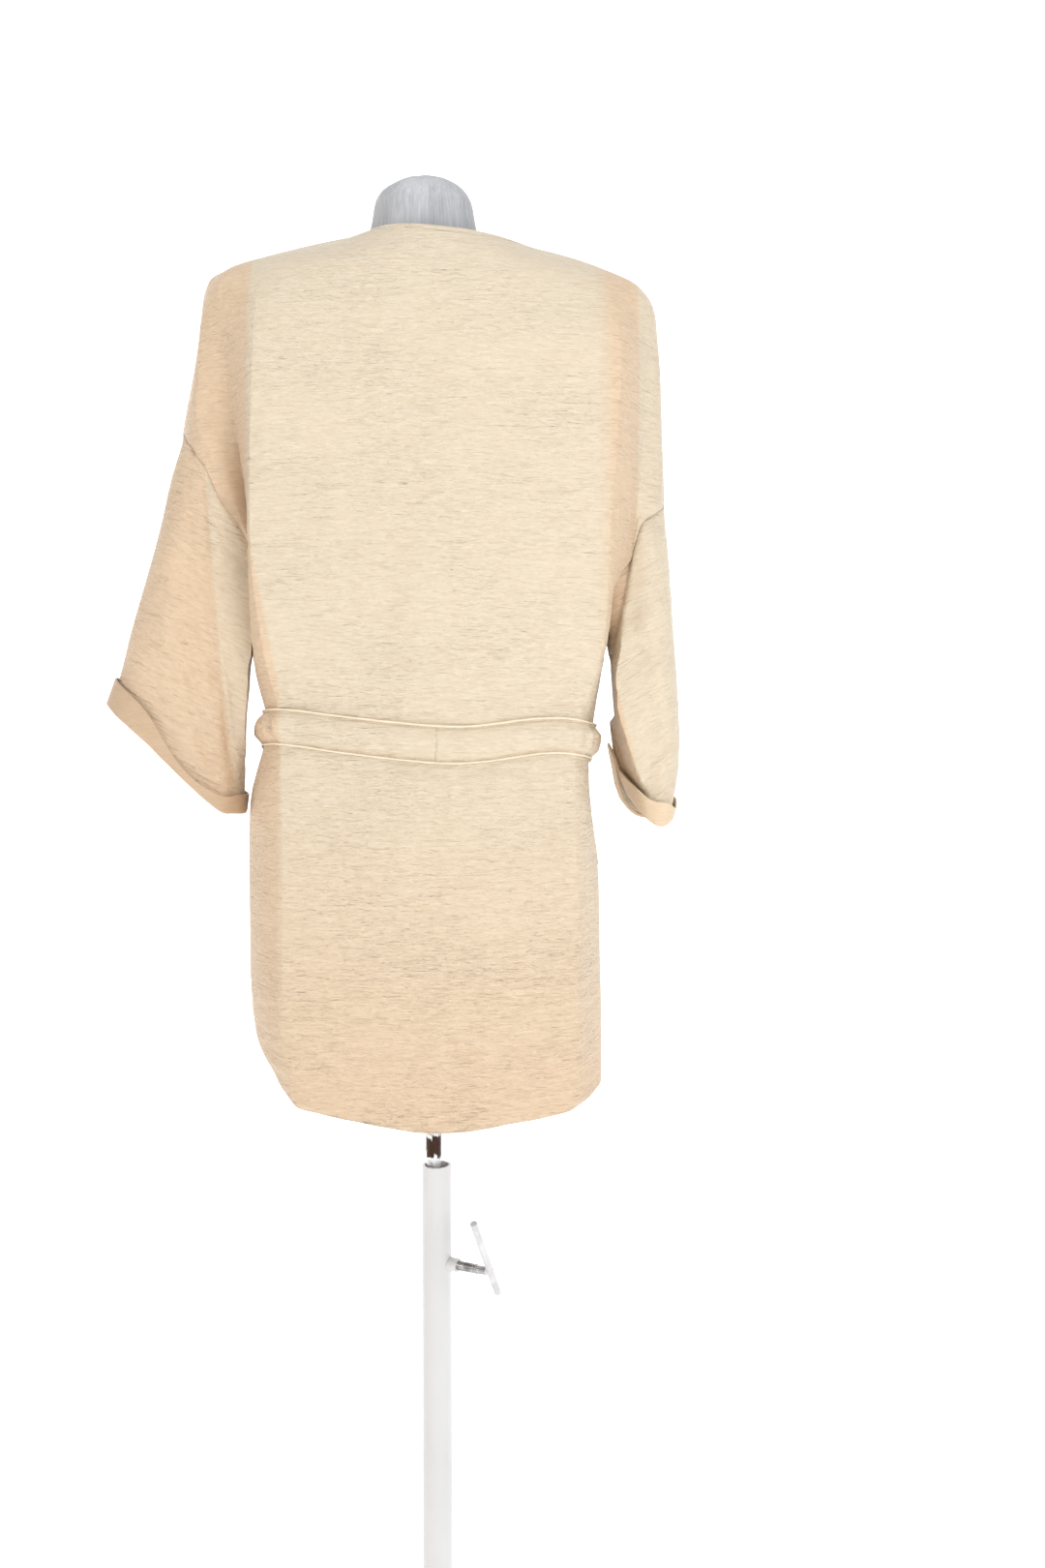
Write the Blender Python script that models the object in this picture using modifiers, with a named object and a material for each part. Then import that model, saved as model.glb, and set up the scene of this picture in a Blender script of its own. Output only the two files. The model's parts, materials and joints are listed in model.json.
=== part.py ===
"""A long tunic top worn by a limbless dress form on a pole stand.

Metres, +Z up. The origin is the middle of the base plate's underside, on the pole's axis. The garment's
back faces +Y and its front faces -Y, so the wearer's left is +X. Each panel of cloth is a wall round a
middle surface, and all panels share that surface's points and normals, so they meet edge to edge.
"""

import math

import bmesh
import bpy
import numpy as np
from mathutils import Vector

WALL = 0.0015  # thickness of a wall of cloth
SEAM_GAP = 0.0003  # gap left between two pieces, at a seam or where one lies on another
MOST_SLACK = 0.0008  # how much further a rim may be drawn back where the cloth folds sharply at a seam
SLANT = 0.042  # how much lower the form's shoulders stand on the wearer's right, for each metre of width

# Rows of the body, neck to hem: height at centre back, depth there, height and depth at centre front,
# how deep the front hangs for each metre of the back, and the share of the centre front's own height and
# depth that the column beside it takes.
CENTRE_COLUMNS = ("back_z", "back_y", "front_z", "front_y", "front_depth", "beside")
CENTRE = {
    "neck": (1.5122, 0.065, 1.411, -0.099, 1.00, 0.00),
    "yoke": (1.490, 0.078, 1.396, -0.106, 1.16, 0.08),
    "blade": (1.452, 0.094, 1.373, -0.113, 1.04, 0.36),
    "chest": (1.400, 0.107, 1.342, -0.121, 1.05, 0.56),
    "sleeve_head": (1.335, 0.112, 1.305, -0.130, 1.10, 0.66),
    "drop": (1.313, 0.1125, 1.290, -0.132, 1.11, 0.68),
    "arm_1": (1.292, 0.113, 1.275, -0.134, 1.12, 0.70),
    "arm_2": (1.252, 0.113, 1.243, -0.135, 1.12, 0.73),
    "arm_3": (1.215, 0.112, 1.212, -0.133, 1.12, 0.73),
    "arm_4": (1.176, 0.110, 1.176, -0.129, 1.10, 0.73),
    "arm_5": (1.138, 0.107, 1.138, -0.124, 1.08, 0.73),
    "underarm": (1.102, 0.103, 1.102, -0.117, 1.06, 0.73),
    "rib": (1.072, 0.098, 1.072, -0.109, 1.04, 0.73),
    "casing_top": (1.051, 0.093, 1.051, -0.103, 1.02, 0.73),
    "casing_foot": (1.016, 0.093, 1.016, -0.103, 1.02, 0.73),
    "hip": (0.985, 0.100, 0.985, -0.108, 1.02, 0.73),
    "seat": (0.915, 0.109, 0.918, -0.112, 1.00, 0.73),
    "skirt": (0.820, 0.112, 0.830, -0.110, 0.96, 0.73),
    "tail": (0.735, 0.111, 0.755, -0.106, 0.94, 0.73),
    "hem": (0.667, 0.109, 0.694, -0.103, 0.93, 0.73),
}
ROW_NAMES = tuple(CENTRE)
HEAD, UNDERARM = ROW_NAMES.index("sleeve_head"), ROW_NAMES.index("underarm")

# Each side, row by row: where the flat of the back turns forward (plane), the hollow beside the arm
# (hollow), how far the cloth stands out between there and the panel's edge (swell), and that edge, which
# is the shoulder seam, then the armhole from sleeve_head to underarm, then the side seam.
SIDE_COLUMNS = ("plane_x", "plane_y", "plane_z", "hollow_x", "hollow_y", "swell", "edge_x", "edge_y", "edge_z")
LEFT = {
    "neck": (0.150, 0.004, 1.5070, 0.189, 0.000, 0.000, 0.2180, 0.000, 1.4830),
    "yoke": (0.158, 0.052, 1.484, 0.199, 0.042, 0.004, 0.2245, 0.000, 1.4640),
    "blade": (0.163, 0.083, 1.445, 0.206, 0.046, 0.006, 0.2275, 0.000, 1.4350),
    "chest": (0.165, 0.100, 1.404, 0.200, 0.045, 0.010, 0.2330, 0.000, 1.3980),
    "sleeve_head": (0.167, 0.105, 1.342, 0.190, 0.045, 0.016, 0.2453, 0.000, 1.3339),
    "drop": (0.1675, 0.1055, 1.320, 0.187, 0.0455, 0.011, 0.2352, 0.036, 1.3158),
    "arm_1": (0.168, 0.106, 1.299, 0.184, 0.046, 0.005, 0.2171, 0.050, 1.2944),
    "arm_2": (0.1685, 0.106, 1.259, 0.178, 0.050, 0.003, 0.2015, 0.060, 1.2557),
    "arm_3": (0.1688, 0.105, 1.222, 0.174, 0.065, 0.000, 0.1775, 0.057, 1.2240),
    "arm_4": (0.167, 0.103, 1.183, 0.174, 0.070, 0.000, 0.1715, 0.034, 1.1810),
    "arm_5": (0.162, 0.099, 1.144, 0.174, 0.064, 0.001, 0.1735, 0.016, 1.1430),
    "underarm": (0.157, 0.094, 1.108, 0.170, 0.060, 0.002, 0.1765, 0.000, 1.1080),
    "rib": (0.1505, 0.085, 1.077, 0.164, 0.056, 0.003, 0.1695, 0.000, 1.0760),
    "casing_top": (0.146, 0.078, 1.058, 0.158, 0.052, 0.003, 0.1640, 0.000, 1.0580),
    "casing_foot": (0.145, 0.078, 1.025, 0.158, 0.052, 0.003, 0.1660, 0.000, 1.0240),
    "hip": (0.143, 0.088, 0.992, 0.163, 0.060, 0.004, 0.1810, 0.000, 0.9920),
    "seat": (0.142, 0.096, 0.918, 0.165, 0.066, 0.004, 0.1845, 0.000, 0.9220),
    "skirt": (0.1425, 0.098, 0.832, 0.165, 0.068, 0.004, 0.1840, 0.000, 0.8450),
    "tail": (0.1428, 0.098, 0.764, 0.165, 0.066, 0.004, 0.1840, 0.000, 0.7980),
    "hem": (0.131, 0.093, 0.690, 0.157, 0.060, 0.004, 0.1815, 0.000, 0.7600),
}
RIGHT = {
    "neck": (0.150, 0.004, 1.5030, 0.189, 0.000, 0.000, 0.2125, 0.000, 1.4700),
    "yoke": (0.160, 0.052, 1.478, 0.197, 0.042, 0.004, 0.2185, 0.000, 1.4540),
    "blade": (0.168, 0.083, 1.437, 0.200, 0.046, 0.006, 0.2205, 0.000, 1.4200),
    "chest": (0.1725, 0.100, 1.390, 0.202, 0.045, 0.007, 0.2233, 0.000, 1.3850),
    "sleeve_head": (0.166, 0.106, 1.290, 0.197, 0.046, 0.008, 0.2280, 0.000, 1.2694),
    "drop": (0.1650, 0.106, 1.276, 0.1955, 0.0465, 0.006, 0.2235, 0.020, 1.2612),
    "arm_1": (0.1635, 0.106, 1.262, 0.194, 0.047, 0.003, 0.2139, 0.030, 1.2535),
    "arm_2": (0.1622, 0.105, 1.240, 0.1915, 0.049, 0.000, 0.1987, 0.050, 1.2422),
    "arm_3": (0.1611, 0.103, 1.208, 0.186, 0.056, 0.000, 0.1890, 0.050, 1.2076),
    "arm_4": (0.1602, 0.100, 1.178, 0.170, 0.066, 0.000, 0.1680, 0.052, 1.1840),
    "arm_5": (0.1590, 0.098, 1.150, 0.167, 0.064, 0.000, 0.1660, 0.028, 1.1500),
    "underarm": (0.1565, 0.094, 1.121, 0.1630, 0.060, 0.001, 0.1675, 0.000, 1.1266),
    "rib": (0.146, 0.085, 1.077, 0.1540, 0.054, 0.003, 0.1570, 0.000, 1.0790),
    "casing_top": (0.136, 0.076, 1.046, 0.1480, 0.050, 0.003, 0.1545, 0.000, 1.0460),
    "casing_foot": (0.132, 0.076, 1.013, 0.1440, 0.050, 0.003, 0.1495, 0.000, 1.0110),
    "hip": (0.131, 0.084, 0.980, 0.1440, 0.056, 0.002, 0.1520, 0.000, 0.9780),
    "seat": (0.132, 0.092, 0.912, 0.1475, 0.060, 0.003, 0.1625, 0.000, 0.9080),
    "skirt": (0.133, 0.094, 0.820, 0.1480, 0.062, 0.004, 0.1640, 0.000, 0.8150),
    "tail": (0.1325, 0.094, 0.742, 0.1480, 0.060, 0.004, 0.1660, 0.000, 0.7480),
    "hem": (0.127, 0.088, 0.681, 0.1480, 0.060, 0.005, 0.1655, 0.000, 0.6980),
}
NECK_POINT = {"left": (0.084, 0.005, 1.5225), "right": (0.102, 0.005, 1.5150)}
# How far the neck's edge stands off the form beside the centre, left and right, and a power that sets how
# far from the centre it does so most.
BACK_NECK_EASE, FRONT_NECK_EASE = (0.014, 0.007, 1.3), (-0.025, -0.025, 1.6)
NECK_EASE_FADE = (1.0, 0.6, 0.3, 0.1)  # share of it row by row
MIDDLE = 0.52  # where the middle column stands between the centre and the plane's edge
NOT_CENTRE = [0, 1, 2, 3, 4, 6, 7, 8, 9, 10]  # the control columns of a row without the centre's
# Share of the centre's change of height, from back to front, that each column beside it takes.
FRONT_DROP = ((4, 0.85), (6, 0.85), (3, 0.22), (7, 0.22))
FOLD_TANGENT, SOFT_TANGENT = 0.35, 1.0  # how much of its natural tangent a column keeps at a fold

# Rings of each sleeve below the armhole, as outer point, inner point, depth at the back, at the fold
# towards the body and in the hollow behind it, depth at the front, the fold's share of the width, and
# how far the cloth sags below the line from the outer to the inner point.
SLEEVE_COLUMNS = ("outer_x", "outer_z", "inner_x", "inner_z", "back", "fold", "hollow", "front", "fold_at", "sag")
SLEEVE_LEFT = (
    (0.2560, 1.298, 0.1805, 1.090, 0.056, 0.052, 0.030, 0.062, 0.76, 0.000),
    (0.2655, 1.250, 0.1825, 1.074, 0.055, 0.050, 0.030, 0.060, 0.78, 0.000),
    (0.2810, 1.196, 0.1855, 1.054, 0.053, 0.047, 0.031, 0.057, 0.80, 0.001),
    (0.2980, 1.140, 0.1870, 1.026, 0.051, 0.045, 0.031, 0.055, 0.82, 0.004),
    (0.3075, 1.102, 0.1880, 0.994, 0.049, 0.043, 0.030, 0.053, 0.83, 0.008),
    (0.3185, 1.072, 0.1895, 0.965, 0.050, 0.044, 0.030, 0.054, 0.84, 0.0145),
)
SLEEVE_RIGHT = (
    (0.2305, 1.223, 0.1715, 1.112, 0.060, 0.060, 0.034, 0.064, 0.74, 0.000),
    (0.2335, 1.184, 0.1715, 1.098, 0.064, 0.066, 0.028, 0.068, 0.78, 0.000),
    (0.2365, 1.138, 0.1730, 1.082, 0.067, 0.066, 0.022, 0.072, 0.82, 0.001),
    (0.2415, 1.075, 0.1740, 1.062, 0.069, 0.064, 0.012, 0.074, 0.80, 0.006),
    (0.2430, 1.018, 0.1755, 1.044, 0.069, 0.060, 0.006, 0.074, 0.66, 0.020),
    (0.2345, 0.984, 0.1785, 1.026, 0.067, 0.058, 0.010, 0.072, 0.62, 0.046),
)
# Where between the outer and the inner point the sag is deepest, how far it spreads, and how full it is.
SAG_SHAPE = {1: (0.75, 0.26, 1.2), -1: (0.46, 0.48, 0.6)}

# The turn-up of a cuff, from the sleeve's end round the fold and up outside: how far beyond the end and
# how far outside the sleeve. The last rows are shares of the band's height.
CUFF_ROLL = ((0.0, 0.0), (0.0020, 0.0003), (0.0030, 0.0019), (0.0020, 0.0036))
CUFF_BAND_ROWS = 3
# Round each cuff from the outer point by the back, the inner point and the front: the band's height
# and how far its rim leans away from the sleeve.
CUFF_COLUMNS = ("height", "lean")
CUFF_LEFT = (
    (0.026, 0.000), (0.026, 0.001), (0.026, 0.001), (0.025, 0.003), (0.0075, 0.002), (0.013, 0.004), (0.017, 0.003),
    (0.018, 0.001), (0.020, 0.002), (0.022, 0.003), (0.024, 0.003), (0.025, 0.003), (0.026, 0.002), (0.026, 0.001),
)
CUFF_RIGHT = (
    (0.008, 0.001), (0.008, 0.001), (0.010, 0.001), (0.023, 0.003), (0.020, 0.004), (0.023, 0.004), (0.017, 0.002),
    (0.007, 0.001), (0.016, 0.002), (0.020, 0.003), (0.020, 0.003), (0.018, 0.002), (0.012, 0.001), (0.008, 0.001),
)

CASING_PUFF = 0.0042  # how far the channel stands off the body at the middle of its height
CASING_LIFT = WALL + SEAM_GAP + 0.0002  # its middle surface above the body's along both edges
CASING_SECTION = ((0.0, 0.0), (0.14, 0.62), (0.36, 1.0), (0.64, 1.0), (0.86, 0.62), (1.0, 0.0))
CASING_JOIN = 0.0006  # half the gap between the channel's two ends at centre back
BINDING_WIDTH = 0.0065

# Grid steps between neighbouring control columns and rows.
COLUMN_STEPS = (3, 4, 3, 2, 3)
ROW_STEPS = (2, 2, 2, 3, 1, 1, 2, 2, 2, 2, 2, 1, 1, 2, 1, 2, 2, 2, 2)
RING_STEPS = (1, 1, 2, 2, 2, 2)

FORM_CENTRE_X = 0.0105
FORM_COLUMNS = ("z", "half_width", "back", "front", "squareness")
FORM = (
    (0.742, 0.118, 0.062, -0.062, 2.2),
    (0.752, 0.140, 0.078, -0.078, 2.2),
    (0.800, 0.152, 0.088, -0.086, 2.2),
    (0.880, 0.156, 0.094, -0.090, 2.2),
    (0.960, 0.143, 0.086, -0.086, 2.2),
    (1.040, 0.124, 0.074, -0.080, 2.2),
    (1.120, 0.132, 0.080, -0.094, 2.2),
    (1.210, 0.146, 0.092, -0.116, 2.2),
    (1.290, 0.155, 0.098, -0.112, 2.3),
    (1.370, 0.168, 0.096, -0.094, 2.4),
    (1.430, 0.185, 0.083, -0.072, 2.5),
    (1.460, 0.192, 0.068, -0.058, 2.2),
    (1.479, 0.190, 0.056, -0.048, 1.9),
    (1.491, 0.178, 0.047, -0.039, 1.6),
    (1.4985, 0.160, 0.040, -0.031, 1.5),
    (1.5045, 0.135, 0.035, -0.023, 1.5),
    (1.5090, 0.093, 0.035, -0.021, 1.4),
    (1.514, 0.0580, 0.041, -0.036, 1.8),
    (1.522, 0.0550, 0.0435, -0.042, 2.0),
    (1.543, 0.0500, 0.043, -0.042, 2.0),
    (1.560, 0.0485, 0.041, -0.040, 2.0),
    (1.571, 0.0395, 0.034, -0.033, 2.0),
    (1.577, 0.0250, 0.021, -0.021, 2.0),
)
FORM_SIDES = 32
FORM_SLANT_RANGE = (1.10, 1.42, 1.52)  # where the form's own slant starts, is full and has faded

MAST_RADIUS, MAST_TOP, MAST_FOOT = 0.0078, 0.900, 0.240
MAST_AXIS = (0.0032, -0.0022)  # the clamp pushes the mast against the far side of the pole's bore
MAST_SIDES = 24
SOCKET_CLEARANCE = 0.0004
POLE_RADIUS, POLE_BORE, POLE_TOP = 0.0150, 0.0122, 0.6052
POLE_PLUG = 0.010  # solid foot of the pole below its bore
POLE_SIDES = 40
BASE_RADIUS, BASE_HEIGHT, BASE_EDGE = 0.190, 0.008, 0.003
BASE_SIDES = 64

CLAMP_HEIGHT = 0.5060
CLAMP_TURN = math.radians(30.0)  # from -X towards +Y
BOSS_RADIUS, BOSS_LENGTH = 0.0068, 0.0095
BOSS_ROOT = 0.0040  # how far the boss goes into the pole's wall before the bore is cut
SCREW_RADIUS, SCREW_END, SCREW_CLEARANCE = 0.0042, 0.0634, 0.0003
SCREW_SIDES = 16
T_BAR_RADIUS, T_BAR_LENGTH, T_BAR_TILT = 0.0036, 0.1000, math.radians(30.5)
T_BAR_REACH = 0.0610  # from the pole's axis to the bar's axis
T_BAR_SHIFT = 0.0185  # how far the bar's middle stands above the screw, along the bar

CLOTH = (0.86, 0.72, 0.52, 1.0)
CUFF_CLOTH = (0.84, 0.69, 0.48, 1.0)
JERSEY = (0.44, 0.46, 0.49, 1.0)
WHITE_PAINT = (0.88, 0.88, 0.89, 1.0)
CHROME = (0.78, 0.78, 0.80, 1.0)


def clear_scene():
    for item in list(bpy.data.objects):
        bpy.data.objects.remove(item, do_unlink=True)


def material(name, colour, roughness, metallic=0.0):
    made = bpy.data.materials.new(name)
    made.use_nodes = True
    shader = made.node_tree.nodes["Principled BSDF"]
    shader.inputs["Base Color"].default_value = colour
    shader.inputs["Roughness"].default_value = roughness
    shader.inputs["Metallic"].default_value = metallic
    return made


def add_mesh(name, points, faces, collection, finish):
    mesh = bpy.data.meshes.new(name)
    mesh.from_pydata([tuple(point) for point in points], [], [tuple(face) for face in faces])
    mesh.materials.append(finish)
    mesh.shade_smooth()
    made = bpy.data.objects.new(name, mesh)
    collection.objects.link(made)
    return made


def spline(points, steps, tangents=None):
    """A smooth curve through the control points, with the given steps between neighbours.

    points has the control points along its first axis, and tangents scales the slope at each of them.
    """
    points = np.asarray(points, float)
    count = len(points)
    slopes = np.empty_like(points)
    slopes[1:-1] = (points[2:] - points[:-2]) / 2
    slopes[0] = points[1] - points[0]
    slopes[-1] = points[-1] - points[-2]
    if tangents is not None:
        shape = (count,) + (1,) * (points.ndim - 1)
        slopes = slopes * np.asarray(tangents, float).reshape(shape)
    curve = []
    for i in range(count - 1):
        for k in range(steps[i]):
            t = k / steps[i]
            rise, fall = t * t * (3 - 2 * t), t * (1 - t) * (1 - t)
            curve.append(
                points[i] * (1 - rise) + points[i + 1] * rise
                + slopes[i] * fall - slopes[i + 1] * t * t * (1 - t)
            )
    curve.append(points[-1])
    return np.array(curve)


def side_controls(side, sign, row):
    """The control points of one side of one row of the back, from the middle column to the edge."""
    at = dict(zip(SIDE_COLUMNS, side[row]))
    centre = dict(zip(CENTRE_COLUMNS, CENTRE[row]))
    plane = np.array([at["plane_x"], at["plane_y"], at["plane_z"]])
    edge = np.array([at["edge_x"], at["edge_y"], at["edge_z"]])
    reach = plane[0] * MIDDLE
    middle = np.array([
        reach,
        plane[1] + (centre["back_y"] - plane[1]) * (1 - MIDDLE**2),
        centre["back_z"] + (plane[2] - centre["back_z"]) * MIDDLE**1.3,
    ])
    hollow = np.array([at["hollow_x"], at["hollow_y"], plane[2] + (edge[2] - plane[2]) * 0.4])
    cap = (hollow + edge) / 2
    outward = np.array([edge[1] - hollow[1], hollow[0] - edge[0]])
    outward = -outward / max(np.linalg.norm(outward), 1e-6)
    cap[:2] += outward * at["swell"]
    if row == "neck":
        middle = np.array(NECK_POINT["left" if sign > 0 else "right"])
    return [np.array([sign * p[0], p[1], p[2]]) for p in (middle, plane, hollow, cap, edge)]


def back_net():
    """Control points of the back, rows by columns, from the right edge over the centre to the left."""
    net = []
    for row in ROW_NAMES:
        centre = dict(zip(CENTRE_COLUMNS, CENTRE[row]))
        left = side_controls(LEFT, 1, row)
        right = side_controls(RIGHT, -1, row)
        middle = np.array([0.0, centre["back_y"], centre["back_z"]])
        net.append(right[::-1] + [middle] + left)
    return np.array(net)


def front_net(back):
    """Control points of the front: the back's turned over, with its own centre, neck and depth."""
    net = back.copy()
    for i, row in enumerate(ROW_NAMES):
        centre = dict(zip(CENTRE_COLUMNS, CENTRE[row]))
        edges = net[i, [0, -1], 1].copy()
        net[i, :, 1] *= -centre["front_depth"]
        if edges[0] == 0.0:
            net[i, [0, -1], 1] = 0.0
        net[i, 5] = (0.0, centre["front_y"], centre["front_z"])
        if row == "neck":
            net[i, NOT_CENTRE, 1] = back[i, NOT_CENTRE, 1]
            continue
        drop = centre["front_z"] - centre["back_z"]
        for column, share in FRONT_DROP:
            net[i, column, 2] += drop * share * centre["beside"]
        for column, side in ((4, 3), (6, 7)):
            near = net[i, side, 1]
            net[i, column, 1] = near + (centre["front_y"] - near) * centre["beside"]
    return net


def patch(net):
    """The fine grid of a panel from its control points, rows by columns."""
    columns = COLUMN_STEPS[::-1] + COLUMN_STEPS
    keep = [SOFT_TANGENT] * net.shape[1]
    for fold in (2, 3, 7, 8):
        keep[fold] = FOLD_TANGENT
    rows = spline(net, ROW_STEPS)
    return spline(rows.transpose(1, 0, 2), columns, keep).transpose(1, 0, 2)


def ease_neck(panel, left, right, power):
    """Draws the sides of the neck away from the form's neck, and less so row by row below."""
    centre, neck = sum(COLUMN_STEPS), COLUMN_STEPS[0]
    for j in range(centre - neck, centre + neck + 1):
        share = abs(j - centre) / neck
        depth = (left if j > centre else right) * math.sin(math.pi * share**power)
        for i, fade in enumerate(NECK_EASE_FADE):
            panel[i, j, 1] += depth * fade
    return panel


def ring_controls(values, sign, count):
    """Control points round one ring of a sleeve: outer point, back, inner point, front."""
    at = dict(zip(SLEEVE_COLUMNS, values))
    outer = np.array([sign * at["outer_x"], 0.0, at["outer_z"]])
    inner = np.array([sign * at["inner_x"], 0.0, at["inner_z"]])
    fold, hollow = at["fold_at"], (1 + at["fold_at"]) / 2
    back_shares = (0.0, 0.03, 0.12, 0.32, (0.32 + fold) / 2, fold, hollow, 1.0)
    back_depths = (0.0, 0.36 * at["back"], 0.72 * at["back"], at["back"], at["back"], at["fold"], at["hollow"], 0.0)
    front_shares = (0.91, 0.75, 0.54, 0.30, 0.12, 0.03)
    front_depths = (0.42, 0.80, 1.00, 0.96, 0.70, 0.36)
    shares = back_shares + front_shares
    depths = back_depths + tuple(-at["front"] * depth for depth in front_depths)
    deepest, spread, power = SAG_SHAPE[sign]
    ring = []
    for share, depth in zip(shares, depths):
        away = min(abs(share - deepest) / spread, 1.0)
        sag = at["sag"] * (1 - away * away) ** power
        ring.append(outer + (inner - outer) * share + np.array([0.0, depth, -sag]))
    assert len(ring) == count
    return ring


def around(ring, steps):
    """A closed smooth ring through its control points."""
    padded = np.concatenate([ring[-2:], ring, ring[:3]])
    full = spline(padded, (1, 1) + steps + (1, 1))
    return full[2 : 2 + sum(steps)]


def sleeve_rings(table, sign, back, front):
    """Rings of a sleeve from the armhole to its end. The first is the panels' own edges."""
    column = -1 if sign > 0 else 0
    steps = ROW_STEPS[HEAD:UNDERARM]
    first, last = sum(ROW_STEPS[:HEAD]), sum(ROW_STEPS[:UNDERARM])
    armhole = np.concatenate([back[first : last + 1, column], front[first + 1 : last, column][::-1]])
    steps_around = steps + steps[::-1]
    control = [armhole]
    for values in table:
        control.append(around(np.array(ring_controls(values, sign, len(steps_around))), steps_around))
    return spline(np.array(control), RING_STEPS)


def grid_faces(ids, closed=False, turned=False):
    """Quads over a grid of point numbers, rows by columns."""
    faces = []
    rows, columns = ids.shape
    for i in range(rows - 1):
        for j in range(columns if closed else columns - 1):
            k = (j + 1) % columns
            face = (ids[i, j], ids[i + 1, j], ids[i + 1, k], ids[i, k])
            faces.append(face[::-1] if turned else face)
    return faces


class Surface:
    """Middle surfaces that share their points, so that neighbours keep one normal along a seam."""

    def __init__(self):
        self.points = []
        self.faces = {}

    def add(self, points):
        start = len(self.points)
        self.points.extend(np.asarray(points, float).reshape(-1, 3))
        return np.arange(start, len(self.points)).reshape(np.asarray(points).shape[:-1])

    def normals(self):
        """Each point's normal, with each face weighted by its angle there, so that a seam gets the bisector."""
        points = np.array(self.points)
        total = np.zeros_like(points)
        for faces in self.faces.values():
            quads = np.array(faces)
            for corner in range(4):
                here = points[quads[:, corner]]
                ahead = points[quads[:, (corner + 1) % 4]] - here
                behind = points[quads[:, corner - 1]] - here
                across = np.cross(ahead, behind)
                size = np.linalg.norm(across, axis=1, keepdims=True)
                angle = np.arctan2(size, (ahead * behind).sum(axis=1, keepdims=True))
                np.add.at(total, quads[:, corner], across / np.maximum(size, 1e-15) * angle)
        return total / np.maximum(np.linalg.norm(total, axis=1, keepdims=True), 1e-12)


def split(face, points):
    """A quad as two triangles on its shorter diagonal, so that both skins of a wall bend along one line."""
    a, b, c, d = face
    if np.linalg.norm(points[a] - points[c]) <= np.linalg.norm(points[b] - points[d]):
        return (a, b, c), (a, c, d)
    return (a, b, d), (b, c, d)


def wall(points, normals, faces, thickness):
    """A closed wall round a middle surface: both skins, and a rim along every open edge.

    The rim is drawn back by half the seam gap, and by more at a sharp fold, so that panels which share an
    edge stay apart.
    """
    used = np.unique(np.array(faces))
    number = {old: new for new, old in enumerate(used)}
    middle, normal = points[used].copy(), normals[used]
    faces = [tuple(number[i] for i in face) for face in faces]
    directed = {}
    for face in faces:
        for a, b in zip(face, face[1:] + face[:1]):
            directed[(a, b)] = face
    rim = [edge for edge in directed if edge[::-1] not in directed]
    pull, own = np.zeros_like(middle), np.zeros_like(middle)
    for a, b in rim:
        face = directed[(a, b)]
        inward = middle[list(face)].mean(axis=0) - (middle[a] + middle[b]) / 2
        along = middle[b] - middle[a]
        inward -= along * inward.dot(along) / along.dot(along)
        inward /= np.linalg.norm(inward)
        across = np.cross(middle[face[2]] - middle[face[0]], middle[face[3]] - middle[face[1]])
        for end in (a, b):
            pull[end] += inward
            own[end] += across / np.linalg.norm(across)
    ends = np.unique(np.array(rim))
    own[ends] /= np.linalg.norm(own[ends], axis=1, keepdims=True)
    bend = np.clip((own[ends] * normal[ends]).sum(axis=1), 0.1, 1.0)
    slack = np.minimum(np.sqrt(1 - bend**2) / bend * thickness / 4, MOST_SLACK)
    pull[ends] *= ((SEAM_GAP / 2 + slack) / np.linalg.norm(pull[ends], axis=1))[:, None]
    middle = middle + pull
    outer, inner = middle + normal * thickness / 2, middle - normal * thickness / 2
    count = len(middle)
    halves = [half for face in faces for half in split(face, middle)]
    shell = halves + [tuple(i + count for i in half[::-1]) for half in halves]
    shell += [(b, a, a + count, b + count) for a, b in rim]
    return np.concatenate([outer, inner]), shell


def cuff_rows(rings, band, sign):
    """Rows of a cuff's middle surface, from the sleeve's end round the fold and up its outside."""
    end, before = rings[-1], rings[-2]
    count = len(end)
    ahead = end - before
    ahead /= np.linalg.norm(ahead, axis=1, keepdims=True)
    along = np.roll(end, -1, axis=0) - np.roll(end, 1, axis=0)
    outward = np.cross(ahead, along) * sign
    outward /= np.linalg.norm(outward, axis=1, keepdims=True)
    centre = end.mean(axis=0)
    facing = np.sign(((end - centre) * outward).sum(axis=1).sum())
    outward *= facing
    steps = ROW_STEPS[HEAD:UNDERARM]
    height_lean = around(np.array(band, float), steps + steps[::-1])
    assert len(height_lean) == count
    rows = [end + ahead * a + outward * n for a, n in CUFF_ROLL]
    a0, n0 = CUFF_ROLL[-1]
    for k in range(1, CUFF_BAND_ROWS + 1):
        share = k / CUFF_BAND_ROWS
        height = height_lean[:, :1] * share
        lean = height_lean[:, 1:] * share**1.2
        rows.append(end + ahead * (a0 - height) + outward * (n0 + lean))
    return np.array(rows)


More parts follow.
